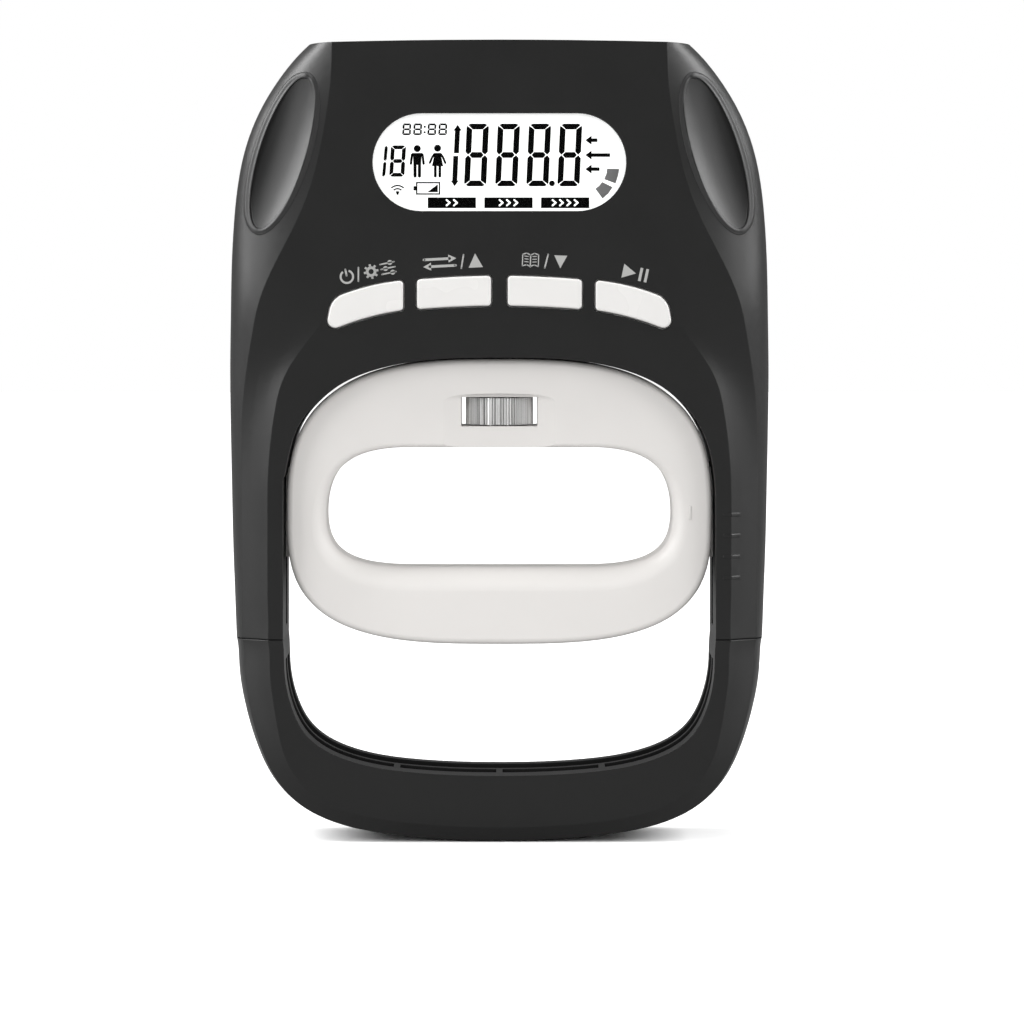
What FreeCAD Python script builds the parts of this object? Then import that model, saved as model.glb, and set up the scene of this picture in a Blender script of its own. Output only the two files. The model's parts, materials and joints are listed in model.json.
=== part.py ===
import FreeCAD, Part
import functools
import math
import os

from FreeCAD import Vector

# Electronic hand dynamometer, millimetres.
# X runs to the right of the front face, Y runs from front to back and Z runs up.
# The origin is under the middle of the lowest point, half way through the depth.

# Overall form
FRONT = 14.4            # front face stands this far in front of the middle plane
BACK = 15.0             # flat back face, behind the middle plane
SKIM = 0.05             # the lofted forms run this far past it and are cut off flat
WALL = 2.2              # moulded wall thickness
SEAM_Z = 48.0           # joint between the arms and the grip bow
SEAM_GROOVE = (0.3, 0.6)    # height and depth of the shadow line at that joint
TOP_Z = 191.0           # highest point of the crowned top
TOP_EDGE_Z = 190.3      # straight front edge of the top
SIDE_Y = -1.0           # depth where the side becomes vertical
REAR_ROUND = 6.0        # rounding between side and back

# Opening that the handle slides in
OPENING_HALF = 51.5
OPENING_TOP_Z = 115.3
OPENING_MID_Z = 78.0
OPENING_POWER = 2.85

# Handle
HANDLE_HALF = 50.8
HANDLE_TOP_Z = 114.95
HANDLE_BOTTOM_Z = 46.7
HANDLE_DEPTH = 10.0     # half of the handle's thickness
HANDLE_WALL = 2.4
HANDLE_TRAVEL = 15.0
HANDLE_ROUND = 1.3      # rounding of the outer edges
GRIP_ROUND = (1.0, 3.2, 5.6)
SCREW_BLOCK = 13.0      # half width of the solid block round the wheel
SCOOP_RADIUS = 60.0
SCOOP_DEPTH = 1.5
HANDLE_UPPER_POWER = 2.85
HANDLE_LOWER_POWER = 3.1
HOLE_HALF = 41.45       # finger hole: half width, levels and half of its straight runs
HOLE_TOP_Z = 93.8
HOLE_MID_Z = 77.9
HOLE_BOTTOM_Z = 65.0
HOLE_FLAT = 21.0
HOLE_PULL_TOP = (12.2, 12.7)      # how far its corner curves pull outwards and upwards
HOLE_PULL_BOTTOM = (16.5, 8.7)

# Guide tongues of the handle and their slots in the arms
SLOT_DEPTH_X = 55.4
SLOT_Z = (50.5, 90.0)
SLOT_WIDTH = 6.2
TONGUE_X = 55.1
TONGUE_Z = (67.0, 88.5)
TONGUE_Y = (0.3, 5.9)

# Adjusting wheel and screw, M8 x 1.25
WINDOW_HALF = 9.1
WINDOW_Z = (98.8, 105.8)
WHEEL_Z = (99.1, 105.5)
WHEEL_RADIUS = 8.1
WHEEL_TEETH = 72
KNURL_DEPTH = 0.35
SCREW_RADIUS = 4.0
SCREW_CORE = 3.35
SCREW_PITCH = 1.25
SCREW_Z = (95.4, 141.0)
JOURNAL_RADIUS = 3.0
COLLAR_RADIUS = 3.95
COLLAR_TOP_Z = 107.0
RUNNING = 0.05          # radial running clearance
SCREW_PASSAGE = 5.0     # radius of the hole where the screw enters the housing

# Draw sleeve and load cell
SLEEVE_RADIUS = 6.0
SLEEVE_Z = (118.2, 147.5)
SLEEVE_BORE_TOP = 141.9
LOAD_CELL_Z = (147.5, 159.5)
LOAD_CELL_X = (-9.0, 53.0)
LOAD_CELL_HALF_Y = 6.0
LINK_RADIUS = 2.0
ANCHOR_SCREW_X = (37.0, 47.0)
BRACKET_X = (32.0, 53.0)
BRACKET_THICK = 2.5
BRACKET_BOTTOM_Z = 140.0
BRACKET_SCREWS = ((36.0, 143.6), (49.0, 143.6))

# Display
DISPLAY_Z = 161.85
DISPLAY_RADIUS = 11.55
DISPLAY_HALF = 30.1

# Circuit board
BOARD_Y = (-8.6, -7.0)
BOARD_X = 40.0
BOARD_Z = (120.0, 176.0)

# Buttons
BUTTON_PROUD = 0.6
BUTTON_GAP = 0.35
# Inner and outer button on the right: upper arc outwards, lower arc inwards, corner roundings
BUTTON_FORMS = (
    (((2.0, 134.8), (10.8, 134.5), (19.6, 133.9)),
     ((19.6, 126.8), (10.8, 127.4), (2.0, 127.65)), (0.9, 0.9, 0.9, 0.9)),
    (((22.9, 133.7), (30.1, 132.55), (39.9, 129.3)),
     ((41.5, 121.1), (30.1, 125.2), (22.9, 126.6)), (0.9, 5.0, 1.9, 0.9)),
)
BUTTON_CENTRES = ((10.8, 130.9), (31.0, 128.4))
BUTTON_FLANGE = 0.8     # how far the retaining flange reaches under the front cover
BUTTON_EDGE = 0.45      # rounding of the cap's visible edge
BUTTON_NAMES = ("set", "up", "down", "start")

# Battery bay, two AAA cells
BATTERY_RADIUS = 5.2
BATTERY_LENGTH = 44.0
BATTERY_Y = 7.6
BATTERY_Z = (169.5, 180.7)
BAY_HALF = 25.6
BAY_Z = (163.0, 187.2)
BAY_FLOOR_Y = 1.2
BAY_WALL = 1.0
PLATE = 0.4             # sheet thickness of the battery contacts
SPRING_RADIUS = 3.2     # coil radius of the battery springs
SPRING_WIRE = 0.3       # radius of their wire
SPRING_TURNS = 4
DOOR_HALF = 27.0
DOOR_Z = (163.8, 187.2)
DOOR_Y = (13.05, 14.95)
DOOR_GAP = 0.3
DOOR_PIN_RADIUS = 0.7
LEDGE_Y = 11.6

# Fasteners
SHANK_RADIUS = 1.2
HOLE_RADIUS = 1.26
HEAD_RADIUS = 2.3
HEAD_HEIGHT = 1.7
BOSS_RADIUS = 3.0
FOOT_Z = (49.6, 59.6)   # solid feet of the rear cover that the bow screws clamp
HOUSING_SCREWS = ((41.0, 180.5), (52.0, 131.0), (57.2, 97.0))
BOW_SCREW = (57.9, 54.0)
HANDLE_SCREWS = ((28.0, 103.2), (28.0, 56.8))
BOARD_SCREWS = ((37.0, 141.0), (37.0, 173.0))

FORM_STEPS = 16         # even steps of the lofted housing form

# Horizontal stations of the upper housing, from the seam to the top:
# height, half width, shoulder crease, ring edge, bevel depth
STATIONS = (
    (48.0, 63.23, 61.4, 55.1, 4.4),
    (70.0, 64.09, 61.6, 55.2, 4.4),
    (88.0, 64.50, 61.6, 55.1, 4.3),
    (98.2, 64.70, 61.6, 54.1, 3.9),
    (105.4, 64.80, 61.2, 52.9, 3.2),
    (112.2, 64.85, 60.4, 50.6, 2.4),
    (117.2, 64.80, 59.6, 47.8, 1.7),
    (123.4, 64.75, 58.4, 41.9, 0.9),
    (129.4, 64.65, 57.0, 39.0, 0.3),
    (135.3, 64.55, 54.6, 37.0, 0.0),
    (141.7, 64.34, 51.4, 35.0, 0.0),
    (148.0, 63.94, 48.2, 33.0, 0.0),
    (156.0, 63.13, 45.0, 31.0, 0.0),
    (164.0, 61.61, 42.9, 30.0, 0.0),
    (172.0, 58.87, 41.4, 30.0, 0.0),
    (180.0, 54.52, 40.3, 30.0, 0.0),
    (186.0, 49.96, 39.9, 30.0, 0.0),
    (192.0, 43.77, 39.8, 30.0, 0.0),
)

# Stations of the right half of the grip bow, from the seam to the middle:
# distance along it, inner x and z, outer x and z, bevel width, bevel depth, outer band
BOW_STATIONS = (
    (0.0, 51.5, 48.0, 63.23, 48.0, 8.13, 4.4, 1.83),
    (5.9, 51.25, 42.0, 62.75, 42.3, 8.0, 4.2, 1.8),
    (12.8, 50.5, 36.0, 61.65, 34.5, 7.6, 3.6, 1.6),
    (20.0, 48.75, 30.3, 59.55, 26.3, 6.9, 2.8, 1.4),
    (27.2, 46.05, 25.7, 56.1, 17.6, 6.0, 2.1, 1.2),
    (34.0, 42.3, 22.4, 50.8, 10.5, 5.1, 1.6, 0.9),
    (40.9, 37.5, 20.0, 43.6, 5.8, 4.3, 1.3, 0.6),
    (48.2, 31.5, 18.2, 35.5, 3.1, 3.9, 1.1, 0.4),
    (56.9, 24.0, 16.95, 26.0, 1.5, 3.6, 1.0, 0.3),
    (69.0, 12.5, 16.05, 13.2, 0.4, 3.5, 1.0, 0.25),
    (82.0, 0.0, 15.8, 0.0, 0.0, 3.5, 1.0, 0.25),
)
BOW_STEPS = 22          # even steps of the lofted bow
BOW_GROOVES = ((-7.1, -0.3), (1.9, 10.8))
BOW_RIB_X = (-24.6, 0.0, 24.6)
BOW_RIB = 0.75          # half width of a rib

# Oval dimples on the shoulders
DIMPLE_X = 51.9
DIMPLE_Z = 164.0
DIMPLE_LONG = 20.4
DIMPLE_SHORT = 7.1
DIMPLE_TILT = 17.7
OVAL_STEPS = 16
MARK_PROUD = 0.12
RIM_RADIUS = 1.1
RIM_PROUD = 0.32
BOWL_RADIUS = 15.0
BOWL_LENGTH = 40.0
BOWL_TURN = 29.0
BOWL_DEPTH = 1.9


def box(x, y, z):
    """Axis-aligned block between pairs of limits."""
    solid = Part.makeBox(x[1] - x[0], y[1] - y[0], z[1] - z[0])
    solid.translate(Vector(x[0], y[0], z[0]))
    return solid


def rod_y(radius, x, y, z):
    """Cylinder along Y between the limits y."""
    return Part.makeCylinder(radius, y[1] - y[0], Vector(x, y[0], z), Vector(0, 1, 0))


def rod_z(radius, x, y, z):
    """Cylinder along Z between the limits z."""
    return Part.makeCylinder(radius, z[1] - z[0], Vector(x, y, z[0]), Vector(0, 0, 1))


def rod_x(radius, x, y, z):
    """Cylinder along X between the limits x."""
    return Part.makeCylinder(radius, x[1] - x[0], Vector(x[0], y, z), Vector(1, 0, 0))


def mirrored(solid):
    """The same solid on the other side of the middle."""
    return solid.mirror(Vector(0, 0, 0), Vector(1, 0, 0))


def both_sides(solid):
    return [solid, mirrored(solid)]


def group(solids):
    return Part.makeCompound(solids)


def flat(x, z, y=0.0):
    return Vector(x, y, z)


def spline(points, start=None, end=None):
    """Smooth curve through the points, with optional end directions."""
    curve = Part.BSplineCurve()
    if start is None:
        curve.interpolate(Points=points)
    else:
        curve.interpolate(Points=points, InitialTangent=start, FinalTangent=end)
    return curve.toShape()


def closed_spline(points):
    """Smooth closed curve through the points."""
    curve = Part.BSplineCurve()
    curve.interpolate(Points=points, PeriodicFlag=True)
    return Part.Wire(curve.toShape())


def prism(edges, y):
    """Solid between two depths from a closed outline drawn at depth y[0]."""
    wire = Part.Wire(Part.sortEdges(edges)[0])
    return Part.Face(wire).extrude(Vector(0, y[1] - y[0], 0))


# ---------------------------------------------------------------- outlines


def superellipse_quarter(half, height, power, mid_z, y, steps=9):
    """Points from the side (half, mid_z) to the middle (0, mid_z + height)."""
    points = []
    for i in range(steps + 1):
        angle = math.pi / 2 * i / steps
        run, rise = abs(math.cos(angle)), abs(math.sin(angle))
        reach = ((run / half) ** power + (rise / abs(height)) ** power) ** (-1 / power)
        side = 0.0 if i == steps else reach * run
        points.append(flat(side, mid_z + math.copysign(reach * rise, height), y))
    return points


def half_arch(half, height, power, mid_z, y):
    """One curve from the right side over the middle to the left side."""
    right = superellipse_quarter(half, height, power, mid_z, y)
    left = [flat(-p.x, p.z, y) for p in reversed(right[:-1])]
    direction = 1 if height > 0 else -1
    return spline(right + left, flat(0, direction), flat(0, -direction))


def opening_prism(grow, y):
    """The handle's opening above the seam, grown outwards all round."""
    half = OPENING_HALF + grow
    arch = half_arch(half, OPENING_TOP_Z - OPENING_MID_Z + grow, OPENING_POWER, OPENING_MID_Z, y[0])
    low = SEAM_Z - 4
    corners = [flat(-half, OPENING_MID_Z, y[0]), flat(-half, low, y[0])]
    corners += [flat(half, low, y[0]), flat(half, OPENING_MID_Z, y[0])]
    return prism([arch] + Part.makePolygon(corners).Edges, y)


def handle_blank(shrink, y):
    """Solid inside the handle's outer outline, moved inwards by shrink."""
    half = HANDLE_HALF - shrink
    up = HANDLE_TOP_Z - OPENING_MID_Z - shrink
    down = OPENING_MID_Z - HANDLE_BOTTOM_Z - shrink
    upper = superellipse_quarter(half, up, HANDLE_UPPER_POWER, OPENING_MID_Z, y[0])
    lower = superellipse_quarter(half, -down, HANDLE_LOWER_POWER, OPENING_MID_Z, y[0])
    points = upper + [flat(-p.x, p.z, y[0]) for p in reversed(upper[:-1])]
    points += [flat(-p.x, p.z, y[0]) for p in lower[1:]] + list(reversed(lower[1:-1]))
    return Part.Face(closed_spline(points)).extrude(Vector(0, y[1] - y[0], 0))


def hole_outline(grow, y):
    """Outline of the finger hole, moved outwards by grow: six edges."""
    half = HOLE_HALF + grow
    top, bottom = HOLE_TOP_Z + grow, HOLE_BOTTOM_Z - grow
    side = flat(half, HOLE_MID_Z, y)
    stretch = 0.4 * grow
    out, up = HOLE_PULL_TOP
    upper = [flat(HOLE_FLAT, top, y), flat(HOLE_FLAT + out + stretch, top, y)]
    upper += [flat(half, HOLE_MID_Z + up + stretch, y), side]
    out, down = HOLE_PULL_BOTTOM
    lower = [side, flat(half, HOLE_MID_Z - down - stretch, y)]
    lower += [flat(HOLE_FLAT + out + stretch, bottom, y), flat(HOLE_FLAT, bottom, y)]
    edges = []
    for poles in (upper, lower):
        for sign in (1, -1):
            curve = Part.BezierCurve()
            curve.setPoles([flat(sign * p.x, p.z, y) for p in poles])
            edges.append(curve.toShape())
    for z in (top, bottom):
        edges.append(Part.makeLine(flat(-HOLE_FLAT, z, y), flat(HOLE_FLAT, z, y)))
    return edges


def stadium(half, radius, mid_z, y):
    """Long rounded plate with full-round ends."""
    straight = half - radius
    middle = box((-straight, straight), y, (mid_z - radius, mid_z + radius))
    ends = [rod_y(radius, sign * straight, y, mid_z) for sign in (-1, 1)]
    return middle.multiFuse(ends).removeSplitter()


# ------------------------------------------------------------- outer form


def side_profile(edge, place, width, ring, crease, drop, inset):
    """Edges of one side of a section, from the ring edge to the back.

    place(u, y) turns a distance across the section and a depth into a point.
    """
    front = -FRONT + inset
    back = BACK + SKIM - inset
    start = front + drop
    bevel = [(ring, front)]
    bevel += [(ring + 0.3 * (crease - ring), front + 0.40 * drop)]
    bevel += [(ring + 0.65 * (crease - ring), front + 0.74 * drop), (crease, start)]
    edge.append(spline([place(u, y) for u, y in bevel]))
    reach = width - crease
    fall = SIDE_Y - start
    poles = [(crease, start), (crease + 0.6 * reach, start + 0.15 * fall)]
    poles += [(width, start + 0.45 * fall), (width, SIDE_Y)]
    shoulder = Part.BezierCurve()
    shoulder.setPoles([place(u, y) for u, y in poles])
    edge.append(shoulder.toShape())
    corner = max(REAR_ROUND - inset, 1.0)
    edge.append(Part.makeLine(place(width, SIDE_Y), place(width, back - corner)))
    bend = corner * (1 - math.sqrt(0.5))
    middle = place(width - bend, back - bend)
    arc = Part.Arc(place(width, back - corner), middle, place(width - corner, back))
    edge.append(arc.toShape())


def housing_section(station, inset):
    """Closed horizontal section of the upper housing."""
    z, width, crease, ring, drop = station
    width -= inset
    crease -= 0.6 * inset
    ring -= 0.4 * inset
    right = []
    side_profile(right, lambda u, y: Vector(u, y, z), width, ring, crease, drop, inset)
    left = []
    side_profile(left, lambda u, y: Vector(-u, y, z), width, ring, crease, drop, inset)
    front = -FRONT + inset
    back = BACK + SKIM - inset
    corner = max(REAR_ROUND - inset, 1.0)
    edges = [Part.makeLine(Vector(-ring, front, z), Vector(ring, front, z))] + right
    edges.append(Part.makeLine(Vector(width - corner, back, z), Vector(corner - width, back, z)))
    edges += reversed(left)
    return Part.Wire(Part.sortEdges(edges)[0])


def smooth_value(table, column, at):
    """Value of a table's column at a height, on a smooth curve through the rows."""
    last = len(table) - 1
    index = 0
    while index < last - 1 and table[index + 1][0] < at:
        index += 1

    def slope(i):
        low, high = max(i - 1, 0), min(i + 1, last)
        return (table[high][column] - table[low][column]) / (table[high][0] - table[low][0])

    step = table[index + 1][0] - table[index][0]
    t = (at - table[index][0]) / step
    a, b = table[index][column], table[index + 1][column]
    bend_a, bend_b = slope(index) * step, slope(index + 1) * step
    value = (2 * t**3 - 3 * t**2 + 1) * a + (t**3 - 2 * t**2 + t) * bend_a
    return value + (3 * t**2 - 2 * t**3) * b + (t**3 - t**2) * bend_b


def housing_form(inset=0.0):
    """Full outer form above the seam, or the same form moved inwards."""
    bottom, top = STATIONS[0][0], STATIONS[-1][0]
    sections = []
    for i in range(FORM_STEPS + 1):
        z = bottom + (top - bottom) * i / FORM_STEPS
        station = [z] + [smooth_value(STATIONS, column, z) for column in (1, 2, 3, 4)]
        sections.append(housing_section(station, inset))
    return Part.makeLoft(sections, True, False)


def top_crown():
    """Everything above the crowned top, to be cut away."""
    half = 46.0
    rise = TOP_Z - TOP_EDGE_Z
    radius = (half * half + rise * rise) / (2 * rise)
    keep = rod_y(radius, 0, (-30, 30), TOP_Z - radius)
    slab = box((-80, 80), (-30, 30), (TOP_EDGE_Z - 3, TOP_Z + 10))
    cap = slab.cut(keep)
    wedge = box((-80, 80), (-8, 0), (0, 8))
    wedge.rotate(Vector(0, 0, 0), Vector(1, 0, 0), 45)
    wedge.translate(Vector(0, -FRONT, TOP_EDGE_Z))
    return cap.fuse(wedge)


def shoulder_y(x, z):
    """Depth of the shoulder surface at a place seen from the front."""
    width, crease, drop = (smooth_value(STATIONS, column, z) for column in (1, 2, 4))
    start = -FRONT + drop
    reach = width - crease
    fall = SIDE_Y - start
    low, high = 0.0, 1.0
    for _ in range(40):
        t = (low + high) / 2
        at = crease + reach * (1.8 * t * (1 - t) ** 2 + 3 * t**2 * (1 - t) + t**3)
        low, high = (t, high) if at < x else (low, t)
    return start + fall * (0.45 * t * (1 - t) ** 2 + 1.35 * t**2 * (1 - t) + t**3)


def oval_point(angle, grow=0.0):
    """Point of the right dimple's oval as seen from the front."""
    tilt = math.radians(DIMPLE_TILT)
    along = (DIMPLE_LONG + grow) * math.cos(angle)
    across = (DIMPLE_SHORT + grow) * math.sin(angle)
    x = DIMPLE_X + across * math.cos(tilt) - along * math.sin(tilt)
    z = DIMPLE_Z + across * math.sin(tilt) + along * math.cos(tilt)
    return x, z


def rim_centre(angle):
    x, z = oval_point(angle, -RIM_RADIUS)
    return Vector(x, shoulder_y(x, z) + RIM_RADIUS - RIM_PROUD, z)


def dimple_rim():
    """Raised bead round the right dimple on the shoulder, in two halves."""
    rings = []
    for i in range(OVAL_STEPS + 1):
        angle = 2 * math.pi * i / OVAL_STEPS
        centre = rim_centre(angle)
        along = rim_centre(angle + 0.01).sub(rim_centre(angle - 0.01))
        along.normalize()
        circle = Part.Circle(centre, along, RIM_RADIUS)
        circle.XAxis = Vector(0, -1, 0).sub(along * along.dot(Vector(0, -1, 0)))
        rings.append(Part.Wire(circle.toShape()))
    half = OVAL_STEPS // 2
    return [Part.makeLoft(rings[:half + 1], True, False), Part.makeLoft(rings[half:], True, False)]


def spindle(radius, length):
    """Ellipsoid about the Z axis."""
    ellipse = Part.Ellipse(Vector(0, 0, length), Vector(radius, 0, 0), Vector(0, 0, 0))
    half = Part.ArcOfEllipse(ellipse, -math.pi, 0).toShape()
    ends = [vertex.Point for vertex in half.Vertexes]
    face = Part.Face(Part.Wire([half, Part.makeLine(ends[1], ends[0])]))
    return face.revolve(Vector(0, 0, 0), Vector(0, 0, 1), 360)


def dimple_bowl():
    """Shallow hollow inside the rim of the right dimple."""
    oval = closed_spline([flat(*oval_point(2 * math.pi * i / OVAL_STEPS, -RIM_RADIUS), -FRONT - 6)
                          for i in range(OVAL_STEPS)])
    prism_solid = Part.Face(oval).extrude(Vector(0, 22, 0))
    ball = spindle(BOWL_RADIUS, BOWL_LENGTH)
    ball.rotate(Vector(0, 0, 0), Vector(0, 1, 0), -DIMPLE_TILT)
    turn = math.radians(BOWL_TURN)
    surface = shoulder_y(DIMPLE_X, DIMPLE_Z)
    lift = BOWL_RADIUS - BOWL_DEPTH
    ball.translate(Vector(DIMPLE_X + lift * math.sin(turn), surface - lift * math.cos(turn), DIMPLE_Z))
    return ball.common(prism_solid)


def bow_table():
    """Stations of the whole bow, from the right seam to the left seam."""
    middle = BOW_STATIONS[-1][0]
    mirror = []
    for at, x1, z1, x2, z2, *rest in reversed(BOW_STATIONS[:-1]):
        mirror.append((2 * middle - at, -x1, z1, -x2, z2, *rest))
    return BOW_STATIONS + tuple(mirror)


def bow_section(station, y=None):
    """Closed section of the bow, or of a groove in its inner face between depths y."""
    start = Vector(station[0], 0, station[1])
    across = Vector(station[2], 0, station[3]).sub(start)
    bevel, drop, band = station[4:]
    width = across.Length
    across.normalize()

    def place(u, y):
        return Vector(start.x + across.x * u, y, start.z + across.z * u)

    if y is not None:
        reach = width - 1.2 * WALL
        corners = ((-1, y[0]), (reach, y[0]), (reach, y[1]), (-1, y[1]), (-1, y[0]))
        return Part.makePolygon([place(u, depth) for u, depth in corners])
    edges = [Part.makeLine(place(0, -FRONT), place(width - bevel, -FRONT))]
    side_profile(edges, place, width, width - bevel, width - band, drop, 0.0)
    back = BACK + SKIM
    edges.append(Part.makeLine(place(width - REAR_ROUND, back), place(0, back)))
    edges.append(Part.makeLine(place(0, back), place(0, -FRONT)))
    return Part.Wire(Part.sortEdges(edges)[0])


def around_bow(y=None):
    """Solid swept round the bow: its outer form, or one groove."""
    table = bow_table()
    sections = []
    for i in range(BOW_STEPS + 1):
        at = table[-1][0] * i / BOW_STEPS
        sections.append(bow_section([smooth_value(table, c, at) for c in range(1, 8)], y))
    return Part.makeLoft(sections, True, False)


# -------------------------------------------------------------- fasteners


def cross_recess(depth, reach):
    """Cross slot centred on the origin, cut downwards from z = 0."""
    half = 0.3
    first = box((-reach, reach), (-half, half), (-depth, 0.1))
    return first.fuse(box((-half, half), (-reach, reach), (-depth, 0.1)))


def screw(shank, shank_radius=SHANK_RADIUS, head_radius=HEAD_RADIUS, head=HEAD_HEIGHT):
    """Pan-head screw standing on its shank, head underside at z = 0."""
    body = rod_z(shank_radius, 0, 0, (-shank, 0))
    cap = rod_z(head_radius, 0, 0, (0, head))
    rim = [edge for edge in cap.Edges if edge.Length > 6 and edge.BoundBox.ZMin > head / 2]
    cap = cap.makeFillet(head / 3, rim[:1])
    recess = cross_recess(head * 0.6, head_radius * 0.55)
    recess.translate(Vector(0, 0, head))
    return cap.fuse(body).cut(recess).removeSplitter()


def screw_from_back(x, y, z, shank, *sizes):
    """Screw along Y with its head towards the back, underside at depth y."""
    solid = screw(shank, *sizes)
    solid.rotate(Vector(0, 0, 0), Vector(1, 0, 0), -90)
    solid.translate(Vector(x, y, z))
    return solid


def screw_from_front(x, y, z, shank, *sizes):
    """Screw along Y with its head towards the front, underside at depth y."""
    solid = screw(shank, *sizes)
    solid.rotate(Vector(0, 0, 0), Vector(1, 0, 0), 90)
    solid.translate(Vector(x, y, z))
    return solid


def at_pairs(places):
    """Each place and its mirror image."""
    return [(sign * x, z) for x, z in places for sign in (-1, 1)]


# ---------------------------------------------------------------- housing


def button_blank(upper, lower, radii, y):
    """One button cap 1 mm thick on the right half, its four corners rounded."""
    curves = [Part.Arc(*[flat(x, z, y) for x, z in arc]).toShape() for arc in (upper, lower)]
    tip = Part.makeLine(flat(*upper[2], y), flat(*lower[0], y))
    inner = Part.makeLine(flat(*lower[2], y), flat(*upper[0], y))
    blank = Part.Face(Part.Wire([curves[0], tip, curves[1], inner])).extrude(Vector(0, 1, 0))
    for corner, radius in zip((upper[0], upper[2], lower[0], lower[2]), radii):
        for edge in blank.Edges:
            middle = edge.CenterOfMass
            off = math.hypot(middle.x - corner[0], middle.z - corner[1])
            if edge.BoundBox.YLength > 0.9 and off < 0.6:
                blank = blank.makeFillet(radius, [edge])
                break
    return blank


def button_prism(name, grow, y):
    """Button outline, moved outwards by grow, as a solid between two depths."""
    blank = button_blank(*BUTTON_FORMS[name in ("set", "start")], y[0])
    faces = [f for f in blank.Faces if f.BoundBox.YLength < 0.01 and f.BoundBox.YMax < y[0] + 0.5]
    wire = faces[0].OuterWire
    if grow:
        wire = wire.makeOffset2D(grow)
    solid = Part.Face(wire).extrude(Vector(0, y[1] - y[0], 0))
    return mirrored(solid) if name in ("set", "up") else solid


def button_centre(name):
    x, z = BUTTON_CENTRES[name in ("set", "start")]
    return (-x if name in ("set", "up") else x), z


def housing_shell(front):
    """Front or rear half of the housing with its walls."""
    form = housing_form()
    half = box((-80, 80), (-30, 0) if front else (0, BACK), (SEAM_Z, TOP_Z + 5))
    shell = form.common(half).cut(opening_prism(0, (-30, 30))).cut(top_crown())
    hollow = housing_form(WALL).common(half)
    hollow = hollow.common(box((-80, 80), (-30, 30), (SEAM_Z, TOP_Z - WALL)))
    hollow = hollow.cut(opening_prism(WALL, (-30, 30)))
    height, depth = SEAM_GROOVE
    groove = box((-80, 80), (-30, 30), (SEAM_Z - 1, SEAM_Z + height)).cut(housing_form(depth))
    return shell.cut(hollow).cut(groove)


def front_cover():
    shell = housing_shell(True)
    lug = -FRONT + 1.0
    adds = [rod_y(BOSS_RADIUS, x, (lug, 0), z) for x, z in at_pairs(HOUSING_SCREWS)]
    adds += [rod_y(2.4, x, (lug, BOARD_Y[0]), z) for x, z in at_pairs(BOARD_SCREWS)]
    adds = [group(adds).common(housing_form(WALL / 2))]
    for rim in dimple_rim():
        adds += both_sides(rim)
    shell = shell.multiFuse(adds + scale_marks())
    cuts = [rod_y(HOLE_RADIUS, x, (-9.0, 1), z) for x, z in at_pairs(HOUSING_SCREWS)]
    cuts += [rod_y(HOLE_RADIUS, x, (-12.4, 1), z) for x, z in at_pairs(BOARD_SCREWS)]
    cuts += [rod_y(HOLE_RADIUS, x, (-9.0, 1), z) for x, z in at_pairs((BOW_SCREW,))]
    cuts += [dimple_bowl(), mirrored(dimple_bowl())]
    cuts += [stadium(DISPLAY_HALF + 0.1, DISPLAY_RADIUS + 0.1, DISPLAY_Z, (-20, -10))]
    cuts += [button_prism(name, BUTTON_GAP, (-20, -10)) for name in BUTTON_NAMES]
    cuts += [rod_z(SCREW_PASSAGE, 0, 0, (OPENING_TOP_Z - 3, SLEEVE_Z[0]))]
    return shell.cut(group(cuts))


def scale_marks():
    """Raised scale bars on the right arm, one each 5 mm of handle travel."""
    marks = []
    skin = housing_form(-MARK_PROUD)
    for i in range(4):
        z = OPENING_MID_Z - 0.1 - i * HANDLE_TRAVEL / 3
        mark = box((53.3, 57.4), (-FRONT - MARK_PROUD, -FRONT + 3.2), (z - 0.35, z + 0.35))
        marks.append(mark.common(skin))
    return marks


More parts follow.
